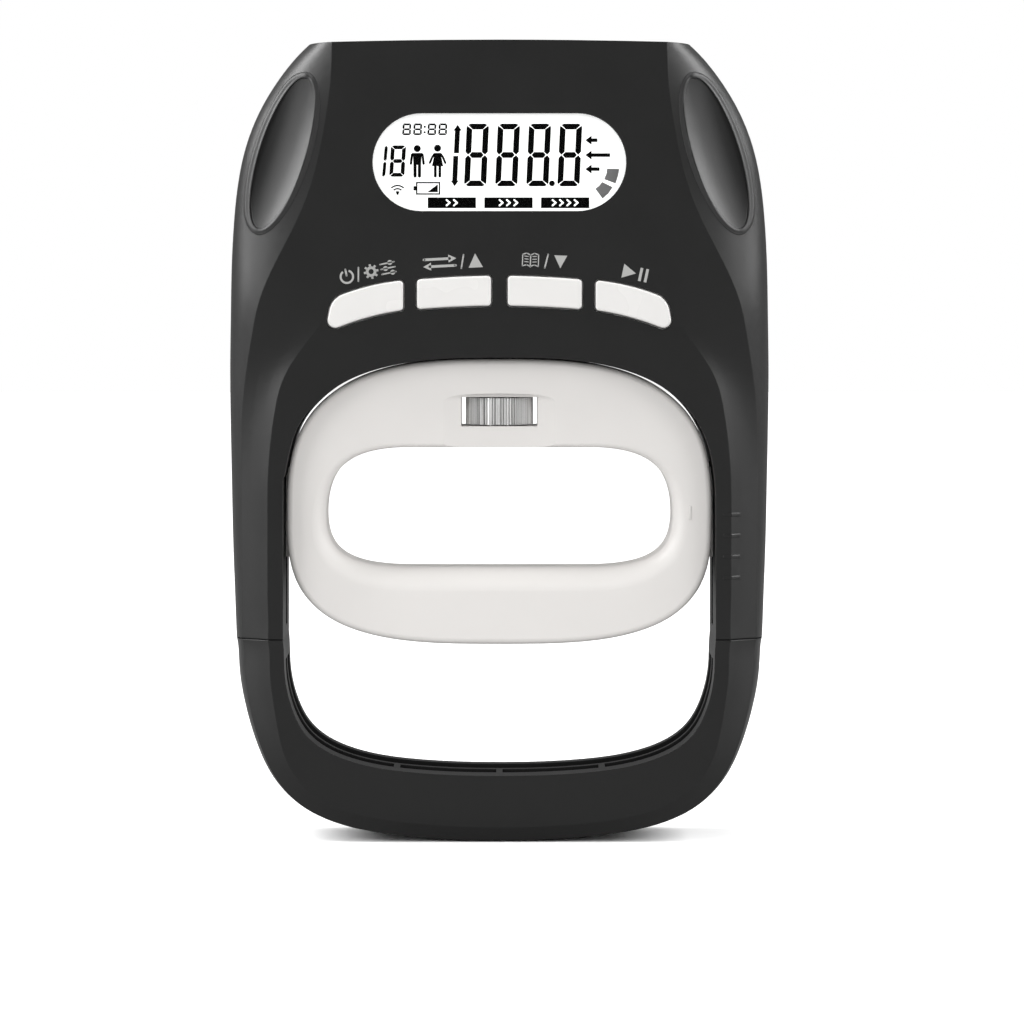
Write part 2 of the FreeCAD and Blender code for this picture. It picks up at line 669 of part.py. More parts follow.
def rear_cover():
    shell = housing_shell(False)
    inner = BACK - WALL
    adds = [rod_y(BOSS_RADIUS, x, (0, inner + 0.5), z) for x, z in at_pairs(HOUSING_SCREWS)]
    adds += [rod_y(BOSS_RADIUS, x, (6.1 + BRACKET_THICK, inner + 0.5), z) for x, z in BRACKET_SCREWS]
    arm = box((SLOT_DEPTH_X - 3, 57.2), (0, 8.6), (SEAM_Z, SLOT_Z[1] + 2))
    foot = box((SLOT_DEPTH_X - 3, 63.0), (0, BACK), FOOT_Z).common(housing_form(WALL / 2))
    bay = box((-BAY_HALF, BAY_HALF), (BAY_FLOOR_Y, inner + 0.1), BAY_Z)
    ledge = box((-DOOR_HALF - 1.8, DOOR_HALF + 1.8), (LEDGE_Y, inner + 0.1), (BAY_Z[0] - 1, TOP_Z - 2))
    adds += both_sides(arm) + both_sides(foot) + [bay, ledge]
    shell = shell.multiFuse(adds)
    slot = box((OPENING_HALF - 1, SLOT_DEPTH_X), (-1, SLOT_WIDTH), SLOT_Z)
    pocket_x = BAY_HALF - BAY_WALL
    pocket_z = (BAY_Z[0] + BAY_WALL, BAY_Z[1] - BAY_WALL)
    pocket = box((-pocket_x, pocket_x), (BAY_FLOOR_Y + BAY_WALL, 20), pocket_z)
    door_x = DOOR_HALF + DOOR_GAP
    door_z = (DOOR_Z[0] - DOOR_GAP, DOOR_Z[1] + DOOR_GAP)
    doorway = box((-door_x, door_x), (DOOR_Y[0] - RUNNING, 20), door_z)
    cuts = both_sides(slot) + [pocket, doorway, door_pin(DOOR_PIN_RADIUS + 0.08, 1.9)]
    for x, z in at_pairs(HOUSING_SCREWS + (BOW_SCREW,)):
        cuts.append(rod_y(HOLE_RADIUS, x, (-1, 16), z))
        cuts.append(rod_y(HEAD_RADIUS + 0.2, x, (11.2, 16), z))
    cuts += [rod_y(HOLE_RADIUS, x, (6, inner - 0.6), z) for x, z in BRACKET_SCREWS]
    cuts.append(rod_z(SCREW_PASSAGE, 0, 0, (OPENING_TOP_Z - 3, SLEEVE_Z[0])))
    return shell.cut(group(cuts))


def grip_bow():
    """Lower bow that rests in the palm, with spigots that enter the arms."""
    bow = around_bow().common(box((-80, 80), (-30, BACK), (-10, 80)))
    keep = box((-80, 80), (-30, 30), (-1, 43.0))
    front, back = (around_bow(y).common(keep) for y in BOW_GROOVES)
    ribs = [box((x - BOW_RIB, x + BOW_RIB), (-30, 30), (-1, 30)) for x in BOW_RIB_X]
    bow = bow.cut(group([front.cut(group(ribs)), back]))
    spigot = box((54.2, 60.0), (-7.6, -0.5), (SEAM_Z - 2, 59.4))
    bow = bow.multiFuse(both_sides(spigot))
    holes = [rod_y(HOLE_RADIUS, x, (-7, 1), z) for x, z in at_pairs((BOW_SCREW,))]
    return bow.cut(group(holes))


def housing_screws():
    return group([screw_from_back(x, 11.2, z, 19.0) for x, z in at_pairs(HOUSING_SCREWS)])


def bow_screws():
    return group([screw_from_back(x, 11.2, z, 17.0) for x, z in at_pairs((BOW_SCREW,))])


# ---------------------------------------------------------------- display


def display_lens():
    window = stadium(DISPLAY_HALF, DISPLAY_RADIUS, DISPLAY_Z, (-FRONT + 0.15, -12.1))
    flange = box((-33.0, 33.0), (-12.15, -11.4), (DISPLAY_Z - 13.4, DISPLAY_Z + 13.4))
    return window.fuse(flange).removeSplitter()


def lcd_glass():
    rear = box((-32.0, 32.0), (-10.65, -9.95), (DISPLAY_Z - 14.0, DISPLAY_Z + 14.0))
    front = box((-32.0, 32.0), (-11.35, -10.65), (DISPLAY_Z - 12.4, DISPLAY_Z + 12.4))
    return rear.fuse(front)


def lcd_backlight():
    return box((-31.0, 31.0), (-9.9, -8.65), (DISPLAY_Z - 11.8, DISPLAY_Z + 11.8))


def lcd_frame():
    """Frame that holds the glass against the front cover."""
    outer = box((-34.6, 34.6), (-11.3, -8.65), (DISPLAY_Z - 15.6, DISPLAY_Z + 15.6))
    inner = box((-32.2, 32.2), (-12, -8), (DISPLAY_Z - 14.2, DISPLAY_Z + 14.2))
    return outer.cut(inner)


def connector_strips():
    strips = []
    for sign in (-1, 1):
        z = DISPLAY_Z + sign * 13.0
        strips.append(box((-30.0, 30.0), (-9.9, -8.65), (z - 0.9, z + 0.9)))
    return group(strips)


# ------------------------------------------------------------ electronics


def control_board():
    board = box((-BOARD_X, BOARD_X), BOARD_Y, BOARD_Z)
    holes = [rod_y(HOLE_RADIUS, x, (-9, -6), z) for x, z in at_pairs(BOARD_SCREWS)]
    return board.cut(group(holes))


def board_components():
    """Processor, amplifier, crystal, capacitors and connectors behind the board."""
    y = BOARD_Y[1]
    parts = [box((-25.0, -15.0), (y, y + 1.2), (130.0, 140.0))]
    parts.append(box((14.0, 19.0), (y, y + 1.1), (128.0, 132.0)))
    parts.append(box((-33.0, -28.0), (y, y + 1.6), (150.0, 152.0)))
    parts.append(box((17.0, 27.0), (y, y + 4.0), (164.0, 168.0)))
    parts.append(box((-19.0, -11.0), (y, y + 4.0), (168.5, 172.5)))
    for i in range(6):
        x = -24.0 + 3.2 * i
        parts.append(box((x, x + 1.6), (y, y + 0.8), (124.5, 125.5)))
    parts += [rod_y(2.5, x, (y, y + 5.0), 170.5) for x in (31.0, -30.5)]
    return group(parts)


def buzzer():
    can = rod_y(6.0, -29.0, (BOARD_Y[1], BOARD_Y[1] + 2.6), 160.0)
    return can.cut(rod_y(0.8, -29.0, (BOARD_Y[1] + 1.6, 0), 160.0))


def board_screws():
    screws = [screw_from_back(x, BOARD_Y[1], z, 4.6, SHANK_RADIUS, 2.0, 1.3)
              for x, z in at_pairs(BOARD_SCREWS)]
    return group(screws)


def switch_bodies():
    solids = []
    for name in BUTTON_NAMES:
        x, z = button_centre(name)
        body = box((x - 2.25, x + 2.25), (BOARD_Y[0] - 1.8, BOARD_Y[0]), (z - 2.25, z + 2.25))
        solids.append(body.cut(rod_y(1.3, x, (-12, BOARD_Y[0] - 0.5), z)))
    return group(solids)


def switch_plunger(name):
    x, z = button_centre(name)
    return rod_y(1.2, x, (-10.9, -9.7), z)


def button_cap(name):
    """Cap with a softened edge, a retaining flange and a post for its switch."""
    cap = button_prism(name, 0.0, (-FRONT - BUTTON_PROUD, -12.1))
    face = [e for e in cap.Edges if e.BoundBox.YMax < -FRONT - BUTTON_PROUD + 0.01]
    cap = cap.makeFillet(BUTTON_EDGE, face)
    flange = button_prism(name, BUTTON_FLANGE, (-12.1, -11.3))
    x, z = button_centre(name)
    post = rod_y(1.6, x, (-11.4, -10.9), z)
    return cap.multiFuse([flange, post]).removeSplitter()


# --------------------------------------------------- load cell and sleeve


def draw_sleeve():
    """Nut sleeve that the adjusting screw pulls on, plain-bored over the thread."""
    body = rod_z(SLEEVE_RADIUS, 0, 0, SLEEVE_Z)
    bore = rod_z(SCREW_RADIUS + 0.08, 0, 0, (SLEEVE_Z[0] - 1, SLEEVE_BORE_TOP))
    link = rod_z(LINK_RADIUS + 0.03, 0, 0, (SLEEVE_BORE_TOP + 0.5, SLEEVE_Z[1] + 1))
    lead_in = Part.makeCone(SCREW_RADIUS + 1.0, SCREW_RADIUS, 1.0, Vector(0, 0, SLEEVE_Z[0] - 0.01))
    return body.cut(group([bore, link])).cut(lead_in)


def load_cell():
    y = (-LOAD_CELL_HALF_Y, LOAD_CELL_HALF_Y)
    bar = box(LOAD_CELL_X, y, LOAD_CELL_Z)
    mid = (LOAD_CELL_Z[0] + LOAD_CELL_Z[1]) / 2
    cuts = [rod_y(4.6, x, (-10, 10), mid) for x in (16.0, 27.0)]
    cuts.append(box((16.0, 27.0), (-10, 10), (mid - 2.0, mid + 2.0)))
    cuts.append(rod_z(LINK_RADIUS + 0.03, 0, 0, (140, 170)))
    cuts += [rod_z(LINK_RADIUS + 0.03, x, 0, (140, 170)) for x in ANCHOR_SCREW_X]
    return bar.cut(cuts[0].multiFuse(cuts[1:]))


def link_screw():
    solid = screw(16.9, LINK_RADIUS, 3.5, 2.2)
    solid.translate(Vector(0, 0, LOAD_CELL_Z[1]))
    return solid


def anchor_bracket():
    """Angle that carries the fixed end of the load cell on the rear cover."""
    top = LOAD_CELL_Z[1] + BRACKET_THICK
    shelf = box(BRACKET_X, (-6.0, 6.1 + BRACKET_THICK), (LOAD_CELL_Z[1], top))
    web = box(BRACKET_X, (6.1, 6.1 + BRACKET_THICK), (BRACKET_BOTTOM_Z, top))
    cuts = [rod_z(LINK_RADIUS + 0.03, x, 0, (150, 170)) for x in ANCHOR_SCREW_X]
    cuts += [rod_y(HOLE_RADIUS, x, (0, 12), z) for x, z in BRACKET_SCREWS]
    return shelf.fuse(web).cut(group(cuts)).removeSplitter()


def anchor_screws():
    screws = []
    for x in ANCHOR_SCREW_X:
        solid = screw(12.5, LINK_RADIUS, 3.5, 2.2)
        solid.translate(Vector(x, 0, LOAD_CELL_Z[1] + BRACKET_THICK))
        screws.append(solid)
    screws += [screw_from_front(x, 6.1, z, 6.0) for x, z in BRACKET_SCREWS]
    return group(screws)


def strain_gauges():
    pads = []
    for x in (16.0, 27.0):
        for z in (LOAD_CELL_Z[0] - 0.25, LOAD_CELL_Z[1] + 0.01):
            pads.append(box((x - 3.0, x + 3.0), (-2.5, 2.5), (z, z + 0.24)))
    return group(pads)


def run_of_wire(points, radius):
    """Round lead through a few corner points."""
    pieces = [Part.makeSphere(radius, p) for p in points]
    for a, b in zip(points, points[1:]):
        pieces.append(Part.makeCylinder(radius, a.distanceToPoint(b), a, b.sub(a)))
    return pieces[0].multiFuse(pieces[1:])


def load_cell_leads():
    leads = []
    for i in range(4):
        x = 18.5 + 2.2 * i
        points = [Vector(x, -1.5, 160.4), Vector(x, -2.2, 166.0), Vector(x, -2.5, 166.0)]
        leads.append(run_of_wire(points, 0.45))
    return group(leads)


# --------------------------------------------------------- battery supply


def battery(index):
    """AAA cell lying along X, its positive end on alternate sides."""
    sign = 1 if index else -1
    z = BATTERY_Z[index]
    tip = BAY_HALF - BAY_WALL - PLATE - 0.02
    can = rod_x(BATTERY_RADIUS, (tip - BATTERY_LENGTH, tip - 0.9), BATTERY_Y, z)
    rims = [e for e in can.Edges if e.Length > 20]
    can = can.makeFillet(0.5, rims)
    cell = can.fuse(rod_x(1.9, (tip - 1.2, tip), BATTERY_Y, z))
    return cell if sign > 0 else mirrored(cell)


def battery_contacts():
    """Sheet contacts at both ends of the bay, the left one joining the cells."""
    x = BAY_HALF - BAY_WALL
    z_low, z_high = BAY_Z[0] + 1.6, BAY_Z[1] - 1.6
    mid = (BATTERY_Z[0] + BATTERY_Z[1]) / 2
    plates = [box((-x, -x + PLATE), (2.4, 12.4), (z_low, z_high))]
    plates.append(box((x - PLATE, x), (2.4, 12.4), (z_low, mid - 0.6)))
    plates.append(box((x - PLATE, x), (2.4, 12.4), (mid + 0.6, z_high)))
    return group(plates)


def battery_springs():
    """Negative springs of eight-sided wire that press the cells on their positive contacts."""
    tip = BAY_HALF - BAY_WALL - PLATE - 0.02
    length = 2 * tip - BATTERY_LENGTH - 2 * SPRING_WIRE - 0.06
    section = []
    for i in range(9):
        angle = math.pi / 4 * (i % 8 + 0.5)
        section.append(Vector(SPRING_RADIUS + SPRING_WIRE * math.cos(angle), 0, SPRING_WIRE * math.sin(angle)))
    springs = []
    for index in (0, 1):
        wire = Part.Wire(Part.makeHelix(length / SPRING_TURNS, length, SPRING_RADIUS).Edges)
        solid = wire.makePipeShell([Part.makePolygon(section)], True, True)
        solid.rotate(Vector(0, 0, 0), Vector(0, 1, 0), 90)
        solid.translate(Vector(-tip + SPRING_WIRE + 0.02, BATTERY_Y, BATTERY_Z[index]))
        springs.append(solid if index else mirrored(solid))
    return group(springs)


def battery_leads():
    """Two leads from the battery bay to the board."""
    leads = []
    for x, z in ((-17.0, 175.0), (-13.0, 175.0)):
        points = [Vector(x, 0.6, z), Vector(x, -2.4, z - 0.5), Vector(x, -2.4, 173.2)]
        leads.append(run_of_wire(points, 0.5))
    return group(leads)


def door_pin(radius, length):
    """Hinge line of the battery door near its lower edge, as one long pin."""
    middle = (DOOR_Y[0] + DOOR_Y[1]) / 2
    reach = DOOR_HALF + length
    return rod_x(radius, (-reach, reach), middle, DOOR_Z[0] + (DOOR_Y[1] - DOOR_Y[0]) / 2)


def battery_door():
    half_thick = (DOOR_Y[1] - DOOR_Y[0]) / 2
    middle = DOOR_Y[0] + half_thick
    axis_z = DOOR_Z[0] + half_thick
    plate = box((-DOOR_HALF, DOOR_HALF), DOOR_Y, (axis_z, DOOR_Z[1]))
    edge = rod_x(half_thick, (-DOOR_HALF, DOOR_HALF), middle, axis_z)
    door = plate.multiFuse([edge, door_pin(DOOR_PIN_RADIUS, 1.6)])
    thumb = box((-8.0, 8.0), (DOOR_Y[1] - 0.9, 20), (DOOR_Z[1] - 6.0, DOOR_Z[1] - 1.4))
    ridges = [box((-7.0, 7.0), (DOOR_Y[1] - 0.9, DOOR_Y[1] - 0.3), (z, z + 0.6))
              for z in (DOOR_Z[1] - 5.2, DOOR_Z[1] - 4.0, DOOR_Z[1] - 2.8)]
    return door.cut(thumb).multiFuse(ridges).removeSplitter()


# ----------------------------------------------------------------- handle


def grip_radius(z):
    """Rounding of the finger hole's edge, small at the top and deep below."""
    if z > 90:
        return GRIP_ROUND[0]
    return GRIP_ROUND[1] if z > 70 else GRIP_ROUND[2]


def hole_edges(ring):
    """Edges of the finger hole on the front and back faces."""
    found = []
    for edge in ring.Edges:
        bounds = edge.BoundBox
        on_face = bounds.YLength < 0.01 and abs(abs(bounds.YMax) - HANDLE_DEPTH) < 0.01
        if on_face and bounds.XLength < 85:
            found.append(edge)
    return found


@functools.lru_cache(maxsize=1)
def handle_ring():
    """Whole handle ring, its finger side rounded deeply along the lower bar."""
    y = (-HANDLE_DEPTH, HANDLE_DEPTH)
    ring = handle_blank(0.0, y)
    rims = [edge for edge in ring.Edges if edge.BoundBox.YLength < 0.01]
    ring = ring.makeFillet(HANDLE_ROUND, rims)
    ring = ring.cut(prism(hole_outline(0.0, y[0] - 1), (y[0] - 1, y[1] + 1)))
    document = FreeCAD.newDocument("handle")
    base = document.addObject("Part::Feature", "base")
    base.Shape = ring
    rounding = document.addObject("Part::Fillet", "rounding")
    rounding.Base = base
    settings = []
    for edge in hole_edges(ring):
        number = [i + 1 for i, other in enumerate(ring.Edges) if other.isSame(edge)][0]
        ends = (edge.valueAt(edge.FirstParameter), edge.valueAt(edge.LastParameter))
        settings.append((number, grip_radius(ends[0].z), grip_radius(ends[1].z)))
    rounding.Edges = settings
    document.recompute()
    solid = rounding.Shape.Solids[0]
    FreeCAD.closeDocument("handle")
    return solid


def handle_half(front):
    """Front or rear half of the handle, cored out around the screw block."""
    ring = handle_ring()
    floor = HANDLE_DEPTH - HANDLE_WALL
    y = (-floor, floor)
    core = handle_blank(HANDLE_WALL, y)
    core = core.cut(prism(hole_outline(HANDLE_WALL + 1.6, y[0] - 1), (y[0] - 1, y[1] + 1)))
    block = box((-SCREW_BLOCK, SCREW_BLOCK), (-20, 20), (90, 120))
    posts = [rod_y(BOSS_RADIUS, x, (-20, 20), z) for x, z in at_pairs(HANDLE_SCREWS)]
    ribs = [box((x - 0.8, x + 0.8), (-20, 20), (40, 120)) for x in (-36.0, -14.0, 14.0, 36.0)]
    core = core.cut(group([block])).cut(group(posts)).cut(group(ribs))
    scoop = scoop_tool()
    cuts = [core, box((-WINDOW_HALF, WINDOW_HALF), (-20, 20), WINDOW_Z)]
    cuts.append(rod_z(JOURNAL_RADIUS + RUNNING, 0, 0, (SCREW_Z[0] - 0.2, WINDOW_Z[0] + 1)))
    cuts.append(rod_z(SCREW_RADIUS + RUNNING, 0, 0, (WINDOW_Z[1] - 1, 120)))
    cuts += [scoop, scoop.mirror(Vector(0, 0, 0), Vector(0, 1, 0))]
    for x, z in at_pairs(HANDLE_SCREWS):
        cuts.append(rod_y(HOLE_RADIUS, x, (-floor + 0.6, 20), z))
        cuts.append(rod_y(HEAD_RADIUS + 0.2, x, (HANDLE_DEPTH - 2.2, 20), z))
    for cut in cuts:
        ring = ring.cut(cut)
    if front:
        half = ring.common(box((-60, 60), (-20, 0), (40, 120)))
        pointer = box((45.2, 45.8), (-HANDLE_DEPTH - 0.15, -HANDLE_DEPTH + 0.5), (76.6, 79.8))
        return half.fuse(pointer)
    half = ring.common(box((-60, 60), (0, 20), (40, 120)))
    tongue = box((HANDLE_HALF - 3.0, TONGUE_X), TONGUE_Y, TONGUE_Z)
    return half.multiFuse(both_sides(tongue))


def scoop_tool():
    """Shallow finger scoop in front of the wheel, running down to the hole."""
    middle = (WINDOW_Z[0] + WINDOW_Z[1]) / 2
    radius = SCOOP_RADIUS
    tool = rod_z(radius, 0, -HANDLE_DEPTH - radius + SCOOP_DEPTH, (80, middle + 4.4))
    top = [e for e in tool.Edges if e.BoundBox.ZMin > middle and e.Length > 10]
    return tool.makeFillet(2.0, top)


def handle_screws():
    y = HANDLE_DEPTH - 2.2
    return group([screw_from_back(x, y, z, 14.0) for x, z in at_pairs(HANDLE_SCREWS)])


def adjusting_wheel():
    """Straight-knurled wheel pressed on the adjusting screw."""
    points = []
    for i in range(2 * WHEEL_TEETH):
        angle = math.pi * i / WHEEL_TEETH
        radius = WHEEL_RADIUS - (KNURL_DEPTH if i % 2 else 0.0)
        points.append(Vector(radius * math.cos(angle), radius * math.sin(angle), WHEEL_Z[0]))
    points.append(points[0])
    height = WHEEL_Z[1] - WHEEL_Z[0]
    body = Part.Face(Part.makePolygon(points)).extrude(Vector(0, 0, height))
    return body.cut(rod_z(JOURNAL_RADIUS, 0, 0, (90, 110)))


def adjusting_screw():
    """Screw with a journal, a collar and a helical M8 x 1.25 thread."""
    solid = rod_z(JOURNAL_RADIUS, 0, 0, (SCREW_Z[0], WHEEL_Z[1]))
    solid = solid.fuse(rod_z(COLLAR_RADIUS, 0, 0, (WHEEL_Z[1], COLLAR_TOP_Z)))
    start, end = COLLAR_TOP_Z, SCREW_Z[1]
    length = end - start
    core = rod_z(SCREW_CORE, 0, 0, (start, end))
    helix = Part.makeHelix(SCREW_PITCH, length + SCREW_PITCH, SCREW_CORE)
    low = -0.1
    profile = [Vector(SCREW_CORE - 0.1, 0, low - 0.5), Vector(SCREW_RADIUS, 0, low - 0.1)]
    profile += [Vector(SCREW_RADIUS, 0, low + 0.1), Vector(SCREW_CORE - 0.1, 0, low + 0.5)]
    profile.append(profile[0])
    ridge = Part.Wire(helix.Edges).makePipeShell([Part.makePolygon(profile)], True, True)
    ridge.translate(Vector(0, 0, start - SCREW_PITCH / 2))
    ridge = ridge.common(rod_z(6, 0, 0, (start, end - 0.8)))
    return solid.multiFuse([core, ridge]).removeSplitter()


def thrust_washers():
    low = rod_z(5.0, 0, 0, (WINDOW_Z[0], WHEEL_Z[0] - RUNNING))
    high = rod_z(5.0, 0, 0, (WHEEL_Z[1] + RUNNING, WINDOW_Z[1]))
    low = low.cut(rod_z(JOURNAL_RADIUS + RUNNING, 0, 0, (90, 110)))
    high = high.cut(rod_z(SCREW_RADIUS + RUNNING, 0, 0, (90, 110)))
    return group([low, high])


# ------------------------------------------------------------------- parts


PARTS = {
    "front_cover": front_cover,
    "rear_cover": rear_cover,
    "grip_bow": grip_bow,
    "housing_screws": housing_screws,
    "bow_screws": bow_screws,
    "display_lens": display_lens,
    "lcd_glass": lcd_glass,
    "lcd_backlight": lcd_backlight,
    "lcd_frame": lcd_frame,
    "connector_strips": connector_strips,
    "control_board": control_board,
    "board_components": board_components,
    "buzzer": buzzer,
    "board_screws": board_screws,
    "switch_bodies": switch_bodies,
    "handle_front": lambda: handle_half(True),
    "handle_rear": lambda: handle_half(False),
    "handle_screws": handle_screws,
    "adjusting_wheel": adjusting_wheel,
    "adjusting_screw": adjusting_screw,
    "thrust_washers": thrust_washers,
    "draw_sleeve": draw_sleeve,
    "load_cell": load_cell,
    "link_screw": link_screw,
    "anchor_bracket": anchor_bracket,
    "anchor_screws": anchor_screws,
    "strain_gauges": strain_gauges,
    "load_cell_leads": load_cell_leads,
    "battery_door": battery_door,
    "battery_lower": lambda: battery(0),
    "battery_upper": lambda: battery(1),
    "battery_contacts": battery_contacts,
    "battery_springs": battery_springs,
    "battery_leads": battery_leads,
}


def main():
    os.makedirs("parts", exist_ok=True)
    for name, make in PARTS.items():
        make().exportStep("parts/" + name + ".step")
    for name in BUTTON_NAMES:
        button_cap(name).exportStep("parts/button_" + name + ".step")
        switch_plunger(name).exportStep("parts/plunger_" + name + ".step")


main()
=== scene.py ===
import json
import math

import bpy
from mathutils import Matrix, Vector
from mathutils.bvhtree import BVHTree


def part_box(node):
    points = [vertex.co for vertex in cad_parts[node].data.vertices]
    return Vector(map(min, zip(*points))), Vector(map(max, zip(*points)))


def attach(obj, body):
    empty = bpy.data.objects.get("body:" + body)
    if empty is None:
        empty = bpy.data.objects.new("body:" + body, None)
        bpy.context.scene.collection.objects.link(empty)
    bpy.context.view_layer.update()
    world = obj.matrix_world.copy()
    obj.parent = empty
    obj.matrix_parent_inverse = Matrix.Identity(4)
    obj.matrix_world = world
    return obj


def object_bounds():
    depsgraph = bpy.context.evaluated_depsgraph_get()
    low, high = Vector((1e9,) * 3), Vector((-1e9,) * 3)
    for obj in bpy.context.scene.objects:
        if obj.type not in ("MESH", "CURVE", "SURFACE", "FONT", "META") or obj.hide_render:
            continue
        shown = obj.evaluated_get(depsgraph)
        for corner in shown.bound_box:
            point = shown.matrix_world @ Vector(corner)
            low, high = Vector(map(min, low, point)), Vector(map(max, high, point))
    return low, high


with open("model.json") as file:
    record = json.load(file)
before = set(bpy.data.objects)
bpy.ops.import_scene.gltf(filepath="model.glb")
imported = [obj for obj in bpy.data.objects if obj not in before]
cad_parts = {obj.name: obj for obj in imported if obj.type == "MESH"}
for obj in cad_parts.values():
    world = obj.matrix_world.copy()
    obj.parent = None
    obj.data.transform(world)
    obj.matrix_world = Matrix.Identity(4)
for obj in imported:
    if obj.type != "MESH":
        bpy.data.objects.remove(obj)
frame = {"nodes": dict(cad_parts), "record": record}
cad_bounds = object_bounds()


# ---------------------------------------------------------------- materials


class Recipe:
    """A principled material that is filled in one node at a time."""

    def __init__(self, name, color, roughness, metallic=0.0):
        self.material = bpy.data.materials.new(name)
        self.material.use_nodes = True
        self.tree = self.material.node_tree
        self.shader = self.tree.nodes["Principled BSDF"]
        self.coordinates = self.tree.nodes.new("ShaderNodeTexCoord").outputs["Object"]
        self.set("Base Color", (*color, 1.0))
        self.set("Roughness", roughness)
        self.set("Metallic", metallic)

    def set(self, socket, value):
        self.shader.inputs[socket].default_value = value

    def link(self, output, socket):
        self.tree.links.new(output, socket)

    def node(self, kind, **values):
        made = self.tree.nodes.new(kind)
        for name, value in values.items():
            setattr(made, name, value)
        return made

    def noise(self, scale, detail=2.0, roughness=0.5, vector=None):
        """Noise value with a scale in cells per metre."""
        made = self.node("ShaderNodeTexNoise")
        made.inputs["Scale"].default_value = scale
        made.inputs["Detail"].default_value = detail
        made.inputs["Roughness"].default_value = roughness
        self.link(vector or self.coordinates, made.inputs["Vector"])
        return made.outputs["Fac"]

    def stretch(self, factors):
        """The object coordinates multiplied along each axis."""
        made = self.node("ShaderNodeMapping")
        made.inputs["Scale"].default_value = factors
        self.link(self.coordinates, made.inputs["Vector"])
        return made.outputs["Vector"]

    def span(self, value, low, high):
        """A value from 0 to 1 moved to the span low to high."""
        made = self.node("ShaderNodeMapRange")
        made.inputs["To Min"].default_value = low
        made.inputs["To Max"].default_value = high
        self.link(value, made.inputs["Value"])
        return made.outputs["Result"]

    def window(self, value, low, high):
        """The span low to high of a value stretched to 0 to 1."""
        made = self.node("ShaderNodeMapRange")
        made.inputs["From Min"].default_value = low
        made.inputs["From Max"].default_value = high
        self.link(value, made.inputs["Value"])
        return made.outputs["Result"]

    def soft_edges(self, radius):
        """Shading normal that rounds sharp edges by a small radius."""
        made = self.node("ShaderNodeBevel", samples=4)
        made.inputs["Radius"].default_value = radius
        return made.outputs["Normal"]

    def mix(self, value, first, second):
        made = self.node("ShaderNodeMix", data_type="RGBA")
        self.link(value, made.inputs[0])
        made.inputs[6].default_value = (*first, 1.0)
        made.inputs[7].default_value = (*second, 1.0)
        return made.outputs[2]

    def bump(self, height, strength, distance, before=None):
        made = self.node("ShaderNodeBump")
        made.inputs["Strength"].default_value = strength
        made.inputs["Distance"].default_value = distance
        self.link(height, made.inputs["Height"])
        if before:
            self.link(before, made.inputs["Normal"])
        self.link(made.outputs["Normal"], self.shader.inputs["Normal"])


def satin_plastic(name, color, roughness, grain, gloss=0.5, edge=0.0):
    """Moulded plastic: fine spark-eroded grain, slight tone changes and softened edges."""
    recipe = Recipe(name, color, roughness)
    fine = recipe.noise(5200.0, 3.0, 0.6)
    broad = recipe.noise(70.0, 2.0)
    recipe.set("Specular IOR Level", gloss)
    rubbed = recipe.span(broad, roughness - 0.04, roughness + 0.05)
    recipe.link(rubbed, recipe.shader.inputs["Roughness"])
    lighter = tuple(min(1.0, c * 1.05 + 0.001) for c in color)
    recipe.link(recipe.mix(broad, color, lighter), recipe.shader.inputs["Base Color"])
    softened = recipe.soft_edges(edge) if edge else None
    recipe.bump(fine, grain, 0.00006, softened)
    return recipe.material


def turned_metal(name, color, roughness, lines=900.0, along=(1.0, 1.0, 8.0)):
    """Machined metal with fine tool lines and an uneven polish."""
    recipe = Recipe(name, color, roughness, 1.0)
    marks = recipe.noise(lines, 3.0, 0.6, recipe.stretch(along))
    stain = recipe.noise(260.0, 2.0)
    polish = recipe.span(marks, roughness - 0.08, roughness + 0.12)
    recipe.link(polish, recipe.shader.inputs["Roughness"])
    stained = recipe.mix(stain, color, tuple(c * 0.82 for c in color))
    recipe.link(stained, recipe.shader.inputs["Base Color"])
    recipe.bump(marks, 0.25, 0.00002, recipe.soft_edges(0.00012))
    return recipe.material


def knurled_chrome(name):
    """Bright plating with painted reflection streaks running upright and painted shade in the knurl
    grooves.
    """
    recipe = Recipe(name, (0.85, 0.85, 0.85), 0.2, 0.35)
    # painted shade: ambient occlusion darkens the base colour in the knurl grooves
    shade = recipe.node("ShaderNodeAmbientOcclusion", samples=6)
    shade.inputs["Distance"].default_value = 0.0005
    # painted reflection: upright streaks of light and dark mixed into the base colour of the plating
    upright = recipe.stretch((1.0, 1.0, 0.02))
    painted_reflection_streaks = recipe.window(recipe.noise(900.0, 3.0, 0.6, upright), 0.36, 0.60)
    dark = recipe.mix(painted_reflection_streaks, (0.10, 0.10, 0.10), (0.45, 0.44, 0.43))
    bright = recipe.mix(painted_reflection_streaks, (0.42, 0.42, 0.41), (1.0, 1.0, 1.0))
    blend = recipe.node("ShaderNodeMix", data_type="RGBA")
    recipe.link(recipe.window(shade.outputs["AO"], 0.35, 0.85), blend.inputs[0])
    recipe.link(dark, blend.inputs[6])
    recipe.link(bright, blend.inputs[7])
    recipe.link(blend.outputs[2], recipe.shader.inputs["Base Color"])
    recipe.bump(painted_reflection_streaks, 0.12, 0.00003)
    return recipe.material


def plain_print(name, color, roughness, glow=0.0):
    """Ink with slightly uneven cover."""
    recipe = Recipe(name, color, roughness)
    cover = recipe.noise(2500.0, 2.0)
    recipe.set("Specular IOR Level", 0.05)
    uneven = recipe.mix(cover, color, tuple(c * 0.94 for c in color))
    recipe.link(uneven, recipe.shader.inputs["Base Color"])
    if glow:
        recipe.set("Emission Color", (*color, 1.0))
        recipe.set("Emission Strength", glow)
    recipe.bump(cover, 0.05, 0.00001)
    return recipe.material


